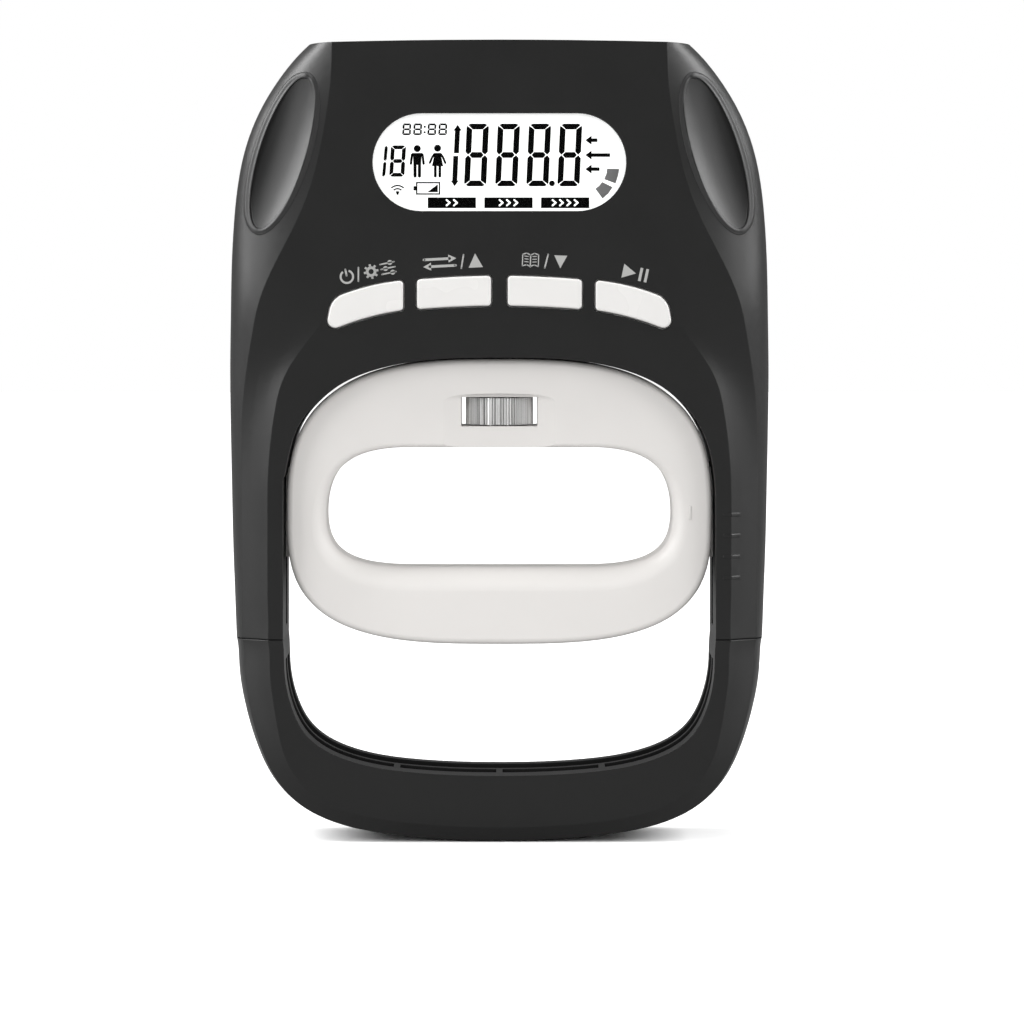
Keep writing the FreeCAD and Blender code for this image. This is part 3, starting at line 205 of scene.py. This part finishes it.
def clear_sheet(name):
    """Thin clear window: see-through, with a reflection that grows at grazing angles."""
    recipe = Recipe(name, (1, 1, 1), 0.03)
    clear = recipe.node("ShaderNodeBsdfTransparent")
    gloss = recipe.node("ShaderNodeBsdfGlossy")
    haze = recipe.noise(400.0, 2.0)
    recipe.link(recipe.span(haze, 0.02, 0.06), gloss.inputs["Roughness"])
    fresnel = recipe.node("ShaderNodeLayerWeight")
    fresnel.inputs["Blend"].default_value = 0.22
    coated = recipe.node("ShaderNodeMath", operation="MULTIPLY")
    recipe.link(fresnel.outputs["Fresnel"], coated.inputs[0])
    coated.inputs[1].default_value = 0.35
    mixer = recipe.node("ShaderNodeMixShader")
    recipe.link(coated.outputs["Value"], mixer.inputs["Fac"])
    recipe.link(clear.outputs["BSDF"], mixer.inputs[1])
    recipe.link(gloss.outputs["BSDF"], mixer.inputs[2])
    output = recipe.tree.nodes["Material Output"]
    recipe.link(mixer.outputs["Shader"], output.inputs["Surface"])
    return recipe.material


def circuit_laminate(name):
    """Green solder mask with fine copper tracks under it."""
    recipe = Recipe(name, (0.01, 0.10, 0.04), 0.3)
    tracks = recipe.node("ShaderNodeTexBrick")
    tracks.inputs["Scale"].default_value = 260.0
    tracks.inputs["Mortar Size"].default_value = 0.05
    tracks.inputs["Color1"].default_value = (0.008, 0.085, 0.035, 1)
    tracks.inputs["Color2"].default_value = (0.010, 0.110, 0.045, 1)
    tracks.inputs["Mortar"].default_value = (0.05, 0.22, 0.06, 1)
    turned = recipe.node("ShaderNodeMapping")
    turned.inputs["Rotation"].default_value = (math.radians(90), 0, 0)
    recipe.link(recipe.coordinates, turned.inputs["Vector"])
    recipe.link(turned.outputs["Vector"], tracks.inputs["Vector"])
    recipe.link(tracks.outputs["Color"], recipe.shader.inputs["Base Color"])
    recipe.bump(tracks.outputs["Fac"], 0.3, 0.00004)
    return recipe.material


def banded(name, stops, roughness, metallic=0.0):
    """Colour that changes in steps along X: pairs of a position in metres and a colour."""
    recipe = Recipe(name, stops[0][1], roughness, metallic)
    split = recipe.node("ShaderNodeSeparateXYZ")
    recipe.link(recipe.coordinates, split.inputs["Vector"])
    reach = 0.04
    ramp = recipe.node("ShaderNodeValToRGB")
    ramp.color_ramp.interpolation = "CONSTANT"
    while len(ramp.color_ramp.elements) < len(stops):
        ramp.color_ramp.elements.new(1.0)
    for element, (place, color) in zip(ramp.color_ramp.elements, stops):
        element.position = (place + reach) / (2 * reach)
        element.color = (*color, 1.0)
    recipe.link(recipe.window(split.outputs["X"], -reach, reach), ramp.inputs["Fac"])
    recipe.link(ramp.outputs["Color"], recipe.shader.inputs["Base Color"])
    fine = recipe.noise(1500.0, 2.0)
    recipe.link(recipe.span(fine, roughness - 0.05, roughness + 0.08), recipe.shader.inputs["Roughness"])
    recipe.bump(fine, 0.1, 0.00003)
    return recipe.material


def gauge_foil(name):
    """Amber film with the fine grid of a strain gauge."""
    recipe = Recipe(name, (0.55, 0.30, 0.08), 0.3)
    grid = recipe.node("ShaderNodeTexWave", wave_type="BANDS", bands_direction="Y")
    grid.inputs["Scale"].default_value = 700.0
    recipe.link(recipe.coordinates, grid.inputs["Vector"])
    recipe.link(recipe.mix(grid.outputs["Fac"], (0.60, 0.34, 0.10), (0.30, 0.15, 0.05)),
                recipe.shader.inputs["Base Color"])
    recipe.bump(grid.outputs["Fac"], 0.2, 0.00002)
    return recipe.material


RED, BLACK, WHITE, GREEN = (0.5, 0.02, 0.02), (0.02, 0.02, 0.02), (0.8, 0.8, 0.78), (0.03, 0.28, 0.07)
LEAD_STOPS = ((-0.04, RED), (-0.015, BLACK), (0.0, RED), (0.0196, BLACK), (0.0218, WHITE), (0.024, GREEN))
COPPER, SLEEVE_DARK = (0.60, 0.27, 0.12), (0.03, 0.035, 0.05)
SLEEVE_STOPS = ((-0.04, COPPER), (-0.0105, SLEEVE_DARK), (0.0105, COPPER))
MATERIALS = {
    "housing_plastic": satin_plastic("housing_plastic", (0.0048, 0.0048, 0.0047), 0.42, 0.35, 0.46, 0.0003),
    "handle_plastic": satin_plastic("handle_plastic", (0.68, 0.661, 0.642), 0.38, 0.10, 0.5, 0.0003),
    "button_plastic": satin_plastic("button_plastic", (0.70, 0.69, 0.675), 0.26, 0.05, 0.5, 0.00015),
    "frame_plastic": satin_plastic("frame_plastic", (0.62, 0.62, 0.60), 0.45, 0.2),
    "component_plastic": satin_plastic("component_plastic", (0.012, 0.012, 0.013), 0.5, 0.3),
    # rim of the dimples: the housing plastic made over three times lighter, a painted highlight for the
    # light the flat band catches
    "rim_plastic_painted_lighter": satin_plastic("rim_plastic_painted_lighter", (0.016, 0.016, 0.016), 0.5, 0.3, 0.5),
    "contact_rubber": satin_plastic("contact_rubber", (0.10, 0.10, 0.10), 0.75, 0.5, 0.2),
    "diffuser": plain_print("diffuser", (0.85, 0.87, 0.88), 0.6, 0.2),
    "clear_window": clear_sheet("clear_window"),
    "display_glass": plain_print("display_glass", (0.93, 0.94, 0.93), 0.35, 0.55),
    "segment_black": plain_print("segment_black", (0.0, 0.0, 0.0), 0.5),
    "segment_white": plain_print("segment_white", (0.93, 0.94, 0.93), 0.5, 0.55),
    "segment_grey": plain_print("segment_grey", (0.20, 0.20, 0.20), 0.5),
    "legend_print": plain_print("legend_print", (0.40, 0.40, 0.39), 0.5),
    "wheel_chrome": knurled_chrome("wheel_chrome"),
    "screw_steel": turned_metal("screw_steel", (0.62, 0.61, 0.60), 0.25),
    "fastener_steel": turned_metal("fastener_steel", (0.30, 0.30, 0.31), 0.32),
    "cell_aluminium": turned_metal("cell_aluminium", (0.77, 0.77, 0.78), 0.30, 700.0, (0.15, 6.0, 6.0)),
    "contact_nickel": turned_metal("contact_nickel", (0.66, 0.63, 0.58), 0.22),
    "circuit_board": circuit_laminate("circuit_board"),
    "gauge_film": gauge_foil("gauge_film"),
    "lead_insulation": banded("lead_insulation", LEAD_STOPS, 0.45),
    "battery_sleeve": banded("battery_sleeve", SLEEVE_STOPS, 0.3, 0.6),
}


def dress_nodes():
    slots = {row["node"]: row["material_slot"] for row in frame["record"]["subparts"]}
    for name, node in frame["nodes"].items():
        node.data.materials.clear()
        node.data.materials.append(MATERIALS[slots[name]])


dress_nodes()


# -------------------------------------------------------------- flat artwork


MM = 0.001
INK = 0.03 * MM          # half the thickness of printed marks
BUTTON_PROUD = 0.6       # height of the keys over the panel, in millimetres


def ring_points(x, z, radius, count=24):
    points = []
    for i in range(count):
        angle = math.radians(360.0 * i / count)
        points.append((x + radius * math.cos(angle), z + radius * math.sin(angle)))
    return points


def disc(x, z, radius):
    return [ring_points(x, z, radius)]


def band(x, z, outer, inner, start, sweep, count):
    """Part of a flat ring as a row of quads."""
    quads = []
    for i in range(count):
        a, b = (math.radians(start + sweep * (i + k) / count) for k in (0, 1))
        corners = ((outer, a), (outer, b), (inner, b), (inner, a))
        quads.append([(x + r * math.cos(t), z + r * math.sin(t)) for r, t in corners])
    return quads


def stroke(points, width):
    """Open line of even width as separate quads with round joints."""
    shapes = []
    for (x1, z1), (x2, z2) in zip(points, points[1:]):
        length = math.hypot(x2 - x1, z2 - z1)
        u, v = -(z2 - z1) / length * width / 2, (x2 - x1) / length * width / 2
        shapes.append([(x1 + u, z1 + v), (x1 - u, z1 - v), (x2 - u, z2 - v), (x2 + u, z2 + v)])
    for x, z in points:
        shapes.append(ring_points(x, z, width / 2, 12))
    return shapes


def block(x1, z1, x2, z2):
    return [[(x1, z1), (x2, z1), (x2, z2), (x1, z2)]]


def placed(shapes, x, z, turn=0.0, slant=0.0):
    """Shapes leaned by slant, turned and moved."""
    c, s = math.cos(math.radians(turn)), math.sin(math.radians(turn))
    moved = []
    for shape in shapes:
        leaned = [(u + v * slant, v) for u, v in shape]
        moved.append([(x + c * u - s * v, z + s * u + c * v) for u, v in leaned])
    return moved


def signed_area(shape):
    return sum(a[0] * b[1] - b[0] * a[1] for a, b in zip(shape, shape[1:] + shape[:1]))


def print_marks(name, shapes, y, material, body):
    """Thin raised marks facing the front, from outlines in millimetres."""
    vertices, faces = [], []
    for shape in shapes:
        if signed_area(shape) > 0:
            shape = shape[::-1]
        count, first = len(shape), len(vertices)
        vertices += [(u * MM, y - INK, v * MM) for u, v in shape]
        vertices += [(u * MM, y + INK, v * MM) for u, v in shape]
        faces.append([first + i for i in range(count)][::-1])
        faces.append([first + count + i for i in range(count)])
        for i in range(count):
            j = (i + 1) % count
            faces.append([first + i, first + j, first + count + j, first + count + i])
    mesh = bpy.data.meshes.new(name)
    mesh.from_pydata(vertices, [], faces)
    mesh.materials.append(material)
    mesh.update()
    marks = bpy.data.objects.new(name, mesh)
    bpy.context.scene.collection.objects.link(marks)
    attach(marks, body)


def digit(width, height, thick, gap):
    """All seven segments of one display digit, lower left at the origin."""
    w, h, t, g = width, height, thick, gap
    m = h / 2
    top = [(0.22 * t + g, h - 0.22 * t), (0.6 * t + g, h), (w - 0.6 * t - g, h)]
    top += [(w - 0.22 * t - g, h - 0.22 * t), (w - t - g, h - t), (t + g, h - t)]
    low = [(u, h - v) for u, v in top]
    middle = [(t * 0.62 + g, m), (t * 1.05 + g, m + t / 2), (w - t * 1.05 - g, m + t / 2)]
    middle += [(w - t * 0.62 - g, m), (w - t * 1.05 - g, m - t / 2), (t * 1.05 + g, m - t / 2)]
    upper = [(0.1 * t, h - 0.30 * t - g), (0, h - 0.6 * t - g), (0, m + 0.55 * t), (0.45 * t, m + 0.5 * g)]
    upper += [(t, m + 0.5 * t + 0.5 * g), (t, h - t - 0.5 * g)]
    upper_right = [(w - u, v) for u, v in upper]
    lower = [(u, h - v) for u, v in upper]
    lower_right = [(w - u, v) for u, v in lower]
    return [top, low, middle, upper, upper_right, lower, lower_right]


def person(dress):
    """Standing figure 7.7 tall, feet at the origin."""
    shapes = disc(0, 6.9, 0.84)
    if dress:
        shapes += [[(-0.85, 5.75), (0.85, 5.75), (0.8, 5.2), (1.35, 2.6), (-1.35, 2.6), (-0.8, 5.2)]]
        shapes += block(-0.86, 0.2, -0.22, 2.6) + block(0.22, 0.2, 0.86, 2.6)
        for side in (-1, 1):
            shapes += stroke([(side * 0.8, 5.45), (side * 1.3, 4.7), (side * 1.85, 3.4)], 0.52)
            shapes += disc(side * 0.54, 0.22, 0.32)
    else:
        shapes += [[(-1.2, 5.85), (1.2, 5.85), (1.5, 5.4), (1.0, 5.0), (0.9, 3.0), (-0.9, 3.0),
                    (-1.0, 5.0), (-1.5, 5.4)]]
        shapes += block(-0.9, 0.3, -0.16, 3.0) + block(0.16, 0.3, 0.9, 3.0)
        for side in (-1, 1):
            shapes += stroke([(side * 1.25, 5.45), (side * 1.52, 3.3)], 0.56)
            shapes += disc(side * 0.53, 0.35, 0.37)
    return shapes


def battery_sign():
    """Low battery outline 5.8 long, lower left at the origin."""
    shapes = block(0.6, 0, 6.4, 0.34) + block(0.6, 2.7, 6.4, 3.04)
    shapes += block(0.6, 0, 0.94, 3.04) + block(6.06, 0, 6.4, 3.04)
    shapes += block(0, 1.0, 0.6, 2.05)
    return shapes + [[(3.3, 0.6), (5.8, 0.6), (5.8, 2.5)]]


def chevrons(count):
    shapes = []
    for i in range(count):
        x = 1.75 * (i - (count - 1) / 2)
        shapes += stroke([(x - 0.38, -0.66), (x + 0.38, 0), (x - 0.38, 0.66)], 0.40)
    return shapes


def display_marks():
    """Black, white and grey marks of the display from its middle, all lit as in a test."""
    dark, pale, grey = [], [], []
    for i in range(4):
        dark += placed(digit(5.3, 14.95, 1.38, 0.1), -8.45 + 7.42 * i, -5.7, 0, 0.045)
    dark += disc(12.55, -5.0, 0.68)
    dark += placed(digit(3.6, 7.45, 0.92, 0.07), -26.3, -3.4, 0, 0.06)
    dark += placed([[(0, 0.2), (0.35, 0), (0.75, 0.5), (0.75, 3.2), (0.38, 3.6), (0, 3.2)],
                    [(0, 4.1), (0.38, 3.75), (0.75, 4.1), (0.75, 6.9), (0.4, 7.4), (0, 7.0)]],
                   -28.0, -3.4, 0, 0.09)
    dark += placed(person(False), -19.6, -3.6) + placed(person(True), -14.75, -3.5)
    for x in (-23.2, -20.6, -17.2, -14.6):
        dark += placed(digit(2.05, 2.8, 0.46, 0.03), x, 6.5, 0, 0.05)
    dark += disc(-17.85, 7.2, 0.26) + disc(-17.8, 8.5, 0.26)
    dark += [[(-10.95, 7.6), (-9.0, 7.6), (-9.95, 9.0)], [(-11.6, -4.35), (-9.7, -4.35), (-10.7, -5.7)]]
    dark += [[(-10.6, 7.7), (-9.4, 7.7), (-9.65, 2.2), (-10.85, 2.2)]]
    dark += [[(-11.0, 1.55), (-9.8, 1.55), (-10.05, -4.4), (-11.25, -4.4)]]
    dark += placed(battery_sign(), -20.5, -7.7)
    for i in range(3):
        dark += band(-24.3, -7.6, 0.75 + 0.75 * i, 0.42 + 0.75 * i, 45, 90, 8)
    dark += disc(-24.3, -7.45, 0.3)
    for i in range(3):
        x = -17.1 + 13.52 * i
        dark += block(x, -10.9, x + 11.5, -8.35)
        pale += placed(chevrons(i + 2), x + 5.75, -9.62)
    for z, reach in ((5.3, 23.4), (1.75, 26.4), (-1.6, 23.9)):
        dark += [[(20.5, z), (22.0, z + 1.1), (22.0, z - 1.1)]] + block(22.0, z - 0.42, reach, z + 0.42)
    grey += [[(25.7, -1.5), (28.6, -1.55), (28.3, -3.2), (27.7, -5.0), (25.0, -4.0), (25.55, -2.7)]]
    grey += [[(24.5, -4.65), (27.0, -5.9), (26.0, -7.4), (24.6, -8.6), (22.9, -6.3), (23.9, -5.5)]]
    return dark, pale, grey


def gear_sign():
    shapes = band(0, 0, 1.25, 0.62, 0, 360, 24)
    for i in range(8):
        shapes += placed(block(-0.26, 1.1, 0.26, 1.75), 0, 0, 45 * i)
    return shapes


def power_sign():
    return band(0, 0, 1.72, 1.24, 118, 304, 24) + stroke([(0, 0.3), (0, 1.75)], 0.46)


def book_sign():
    shapes = []
    for side in (-1, 1):
        page = [(0, -1.5), (side * 0.9, -1.1), (side * 1.9, -1.45), (side * 1.9, 1.35), (side * 0.9, 1.65),
                (0, 1.2)]
        shapes += stroke(page, 0.26)
        for z in (-0.45, 0.2, 0.85):
            shapes += stroke([(side * 0.5, z), (side * 1.45, z + 0.08)], 0.22)
    return shapes + stroke([(0, -1.6), (0, 1.3)], 0.3)


def swap_sign():
    shapes = stroke([(-3.7, 0.85), (2.4, 0.85)], 0.62) + stroke([(-2.4, -0.85), (3.7, -0.85)], 0.62)
    shapes += [[(2.1, -0.1), (4.0, 0.85), (2.1, 1.8)], [(-2.1, -1.8), (-4.0, -0.85), (-2.1, 0.1)]]
    return shapes


def slider_sign():
    """Three setting sliders."""
    shapes = []
    for z, knob in ((1.2, 0.7), (0.0, -0.6), (-1.2, 0.9)):
        shapes += stroke([(-1.7, z), (1.7, z)], 0.34) + disc(knob, z, 0.58)
    return shapes


def key_legends():
    """Plain signs above the four keys, each group turned to follow the arc."""
    slash = stroke([(-0.35, -1.6), (0.35, 1.6)], 0.36)
    groups = []
    groups += placed(placed(power_sign(), -5.0, 0) + placed(slash, -2.2, 0) + placed(gear_sign(), 0.9, 0)
                     + placed(slider_sign(), 5.0, 0), -31.4, 135.6, 12)
    groups += placed(placed(swap_sign(), -5.2, 0) + placed(slash, 0.2, 0)
                     + [[(1.6, -1.6), (5.0, -1.6), (3.3, 1.75)]], -9.0, 138.2, 3)
    groups += placed(placed(book_sign(), -3.5, 0.1) + placed(slash, 0.3, 0)
                     + [[(2.1, 1.45), (5.2, 1.45), (3.65, -1.6)]], 10.9, 138.3, -2)
    run_and_pause = [[(-2.9, -1.7), (0.3, 0), (-2.9, 1.7)]]
    run_and_pause += block(1.1, -1.6, 1.75, 1.6) + block(2.5, -1.6, 3.15, 1.6)
    return groups + placed(run_and_pause, 32.2, 135.4, -12)


def print_display_and_keys():
    glass_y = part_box("lcd_glass")[0].y
    lens_low, lens_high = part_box("display_lens")
    middle_z = (lens_low.z + lens_high.z) / 2 / MM
    dark, pale, grey = (placed(shapes, 0, middle_z) for shapes in display_marks())
    print_marks("display_segments", dark, glass_y, MATERIALS["segment_black"], "housing")
    print_marks("display_level_signs", pale, glass_y - INK, MATERIALS["segment_white"], "housing")
    print_marks("display_level_blocks", grey, glass_y, MATERIALS["segment_grey"], "housing")
    panel_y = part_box("button_up")[0].y + BUTTON_PROUD * MM
    print_marks("key_legends", key_legends(), panel_y, MATERIALS["legend_print"], "housing")


print_display_and_keys()


# ------------------------------------------------------------- dimple rims


OVAL_X = 51.9            # middle of the right dimple, in millimetres
OVAL_Z = 164.0
OVAL_LONG = 20.4         # half lengths of its oval
OVAL_SHORT = 7.1
OVAL_TILT = 17.7         # lean of the oval in degrees
RIM_STEPS = 96
PROBE_Y = -0.05          # rays that look for the case start in front of it, in metres


def oval_place(side, turn, grow):
    """Place on a dimple's oval seen from the front, moved outwards by grow."""
    tilt = math.radians(OVAL_TILT)
    along, across = (OVAL_LONG + grow) * math.cos(turn), (OVAL_SHORT + grow) * math.sin(turn)
    x = OVAL_X + across * math.cos(tilt) - along * math.sin(tilt)
    return side * x, OVAL_Z + across * math.sin(tilt) + along * math.cos(tilt)


def rim_profile(surface, side, turn):
    """Section through a rim as pairs of a growth and a depth, closed on its hidden side."""
    def depth(grow):
        x, z = oval_place(side, turn, grow)
        hit = surface.ray_cast(Vector((x * MM, PROBE_Y, z * MM)), Vector((0, 1, 0)))[0]
        return hit.y / MM

    slope = (depth(0.8) - depth(0.3)) / 0.5
    crest = depth(-1.0)
    rows = [(grow, depth(grow) - 0.05) for grow in (-0.05, -0.35, -0.7, -1.0)]
    rows += [(-1.3, crest - 0.02 - 0.3 * slope), (-1.55, crest + 0.12 - 0.55 * slope)]
    rows += [(-1.75, crest + 0.5 - 0.75 * slope), (-1.0, crest + 0.9), (-0.05, rows[0][1] + 0.5)]
    return rows


def dimple_rim(name, surface, side):
    """Raised flat band round one of the shoulder dimples."""
    vertices, faces = [], []
    for i in range(RIM_STEPS):
        turn = 2 * math.pi * i / RIM_STEPS
        for grow, y in rim_profile(surface, side, turn):
            x, z = oval_place(side, turn, grow)
            vertices.append((x * MM, y * MM, z * MM))
    rows = len(vertices) // RIM_STEPS
    for i in range(RIM_STEPS):
        for k in range(rows):
            j, following = (k + 1) % rows, (i + 1) % RIM_STEPS
            quad = [i * rows + k, i * rows + j, following * rows + j, following * rows + k]
            faces.append(quad[::side])
    mesh = bpy.data.meshes.new(name)
    mesh.from_pydata(vertices, [], faces)
    mesh.polygons.foreach_set("use_smooth", [True] * len(faces))
    # the rim takes the lighter copy of the housing plastic, a painted highlight
    mesh.materials.append(MATERIALS["rim_plastic_painted_lighter"])
    mesh.update()
    rim = bpy.data.objects.new(name, mesh)
    bpy.context.scene.collection.objects.link(rim)
    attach(rim, "housing")


def dimple_rims():
    cover = frame["nodes"]["front_cover"].data
    surface = BVHTree.FromPolygons([v.co for v in cover.vertices], [p.vertices for p in cover.polygons])
    dimple_rim("dimple_rim_right", surface, 1)
    dimple_rim("dimple_rim_left", surface, -1)


dimple_rims()


# ------------------------------------------------------ floor, light, camera


CAMERA_DISTANCE = 1.02   # from the middle plane of the case, in metres
EYE_Z = 0.134            # height of the camera
PICTURE_MIDDLE = (0.003, 0.0786)   # place on the front face at the middle of the picture
VIEW_WIDTH = 0.2436      # width of the front plane that fills the picture
SOFT_LEVEL = 0.32        # surround as lit surfaces feel it
MIRROR_LEVEL = 0.23      # surround as it shows in reflections
FLOOR_RINGS = (0.3, 1.0, 4.0)
FLOOR_FADE = (0.35, 1.6)    # the floor turns white between these distances from the middle
FLOOR_SHADE = 0.30       # tone of the floor as the object is lit by it
FLOOR_GLOW = 0.1         # share of its glow that reaches the object
LIGHTS = (
    # name, place, target, width, height, watts
    ("top_box", (0.0, -0.05, 1.3), (0, 0, 0.1), 0.8, 0.15, 2.0),
    ("front_left", (-1.15, -0.85, 0.50), (0, 0, 0.12), 0.6, 0.9, 7.0),
    ("front_right", (1.15, -0.85, 0.50), (0, 0, 0.12), 0.6, 0.9, 5.6),
    ("strip_left", (-1.0, 0.05, 0.80), (0, 0, 0.15), 0.7, 0.9, 24.0),
    ("strip_right", (1.0, 0.05, 0.80), (0, 0, 0.15), 0.7, 0.9, 19.0),
)
FILL_LIGHT = ("fill", (0.0, -1.15, 0.45), (0, 0, 0.1), 0.8, 0.6, 4.8)


def studio_floor():
    """Pale round floor that brightens to the white surround at its far rim."""
    turns = 48
    vertices, faces = [], []
    for radius in FLOOR_RINGS:
        for point in ring_points(0, 0, radius, turns):
            vertices.append((*point, cad_bounds[0].z))
    faces.append(list(range(turns)))
    for ring in (0, turns):
        for k in range(turns):
            following = (k + 1) % turns
            faces.append([ring + k, ring + turns + k, ring + turns + following, ring + following])
    mesh = bpy.data.meshes.new("studio_floor")
    mesh.from_pydata(vertices, [], faces)
    mesh.materials.append(floor_paint())
    floor = bpy.data.objects.new("studio_floor", mesh)
    bpy.context.scene.collection.objects.link(floor)


def floor_paint():
    """White paint for the camera, and a darker one for the light that reaches the object."""
    recipe = Recipe("floor_paint", (0.93, 0.93, 0.93), 0.8)
    recipe.set("Specular IOR Level", 0.1)
    seen = recipe.node("ShaderNodeLightPath").outputs["Is Camera Ray"]
    paint = recipe.noise(9.0, 3.0)
    shade = recipe.node("ShaderNodeMix", data_type="RGBA")
    recipe.link(seen, shade.inputs[0])
    shade.inputs[6].default_value = (FLOOR_SHADE, FLOOR_SHADE, FLOOR_SHADE, 1.0)
    recipe.link(recipe.mix(paint, (0.92, 0.92, 0.92), (0.94, 0.94, 0.94)), shade.inputs[7])
    recipe.link(shade.outputs[2], recipe.shader.inputs["Base Color"])
    distance = recipe.node("ShaderNodeVectorMath", operation="LENGTH")
    recipe.link(recipe.coordinates, distance.inputs[0])
    recipe.set("Emission Color", (1, 1, 1, 1))
    glow = recipe.node("ShaderNodeMath", operation="MULTIPLY")
    recipe.link(recipe.window(distance.outputs["Value"], *FLOOR_FADE), glow.inputs[0])
    recipe.link(recipe.span(seen, FLOOR_GLOW, 1.0), glow.inputs[1])
    recipe.link(glow.outputs["Value"], recipe.shader.inputs["Emission Strength"])
    return recipe.material


def area_light(name, place, target, width, height, watts):
    data = bpy.data.lights.new(name, "AREA")
    data.shape = "RECTANGLE"
    data.size = width
    data.size_y = height
    data.energy = watts
    lamp = bpy.data.objects.new(name, data)
    bpy.context.scene.collection.objects.link(lamp)
    lamp.location = place
    direction = Vector(target) - Vector(place)
    lamp.rotation_euler = direction.to_track_quat("-Z", "Y").to_euler()
    lamp.visible_camera = False
    return lamp


def ray_switch(tree, ray, otherwise, value):
    """Output that is value for one kind of ray and otherwise a number or another output."""
    switch = tree.nodes.new("ShaderNodeMapRange")
    path = tree.nodes.new("ShaderNodeLightPath")
    tree.links.new(path.outputs[ray], switch.inputs["Value"])
    if isinstance(otherwise, float):
        switch.inputs["To Min"].default_value = otherwise
    else:
        tree.links.new(otherwise, switch.inputs["To Min"])
    switch.inputs["To Max"].default_value = value
    return switch.outputs["Result"]


def set_lights():
    """Soft boxes above, in front and at both sides, a fill without glare, and a white surround."""
    for light in LIGHTS:
        area_light(*light)
    fill = area_light(*FILL_LIGHT)
    fill.visible_glossy = False
    world = bpy.data.worlds.new("studio")
    world.use_nodes = True
    tree = world.node_tree
    surround = tree.nodes["Background"]
    surround.inputs["Color"].default_value = (1, 1, 1, 1)
    hidden = ray_switch(tree, "Is Glossy Ray", SOFT_LEVEL, MIRROR_LEVEL)
    tree.links.new(ray_switch(tree, "Is Camera Ray", hidden, 1.0), surround.inputs["Strength"])
    bpy.context.scene.world = world
    bpy.context.scene.view_settings.view_transform = "Standard"


def set_camera():
    """Straight-on view from the height of the display, scaled at the front face."""
    data = bpy.data.cameras.new("camera")
    camera = bpy.data.objects.new("camera", data)
    bpy.context.scene.collection.objects.link(camera)
    data.sensor_width = 36.0
    camera.location = (0.0, -CAMERA_DISTANCE, EYE_Z)
    camera.rotation_euler = (math.radians(90), 0, 0)
    front_distance = CAMERA_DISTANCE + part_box("front_cover")[0].y
    data.lens = data.sensor_width * front_distance / VIEW_WIDTH
    data.shift_x = PICTURE_MIDDLE[0] / VIEW_WIDTH
    data.shift_y = (PICTURE_MIDDLE[1] - EYE_Z) / VIEW_WIDTH
    bpy.context.scene.camera = camera


studio_floor()
set_lights()
set_camera()
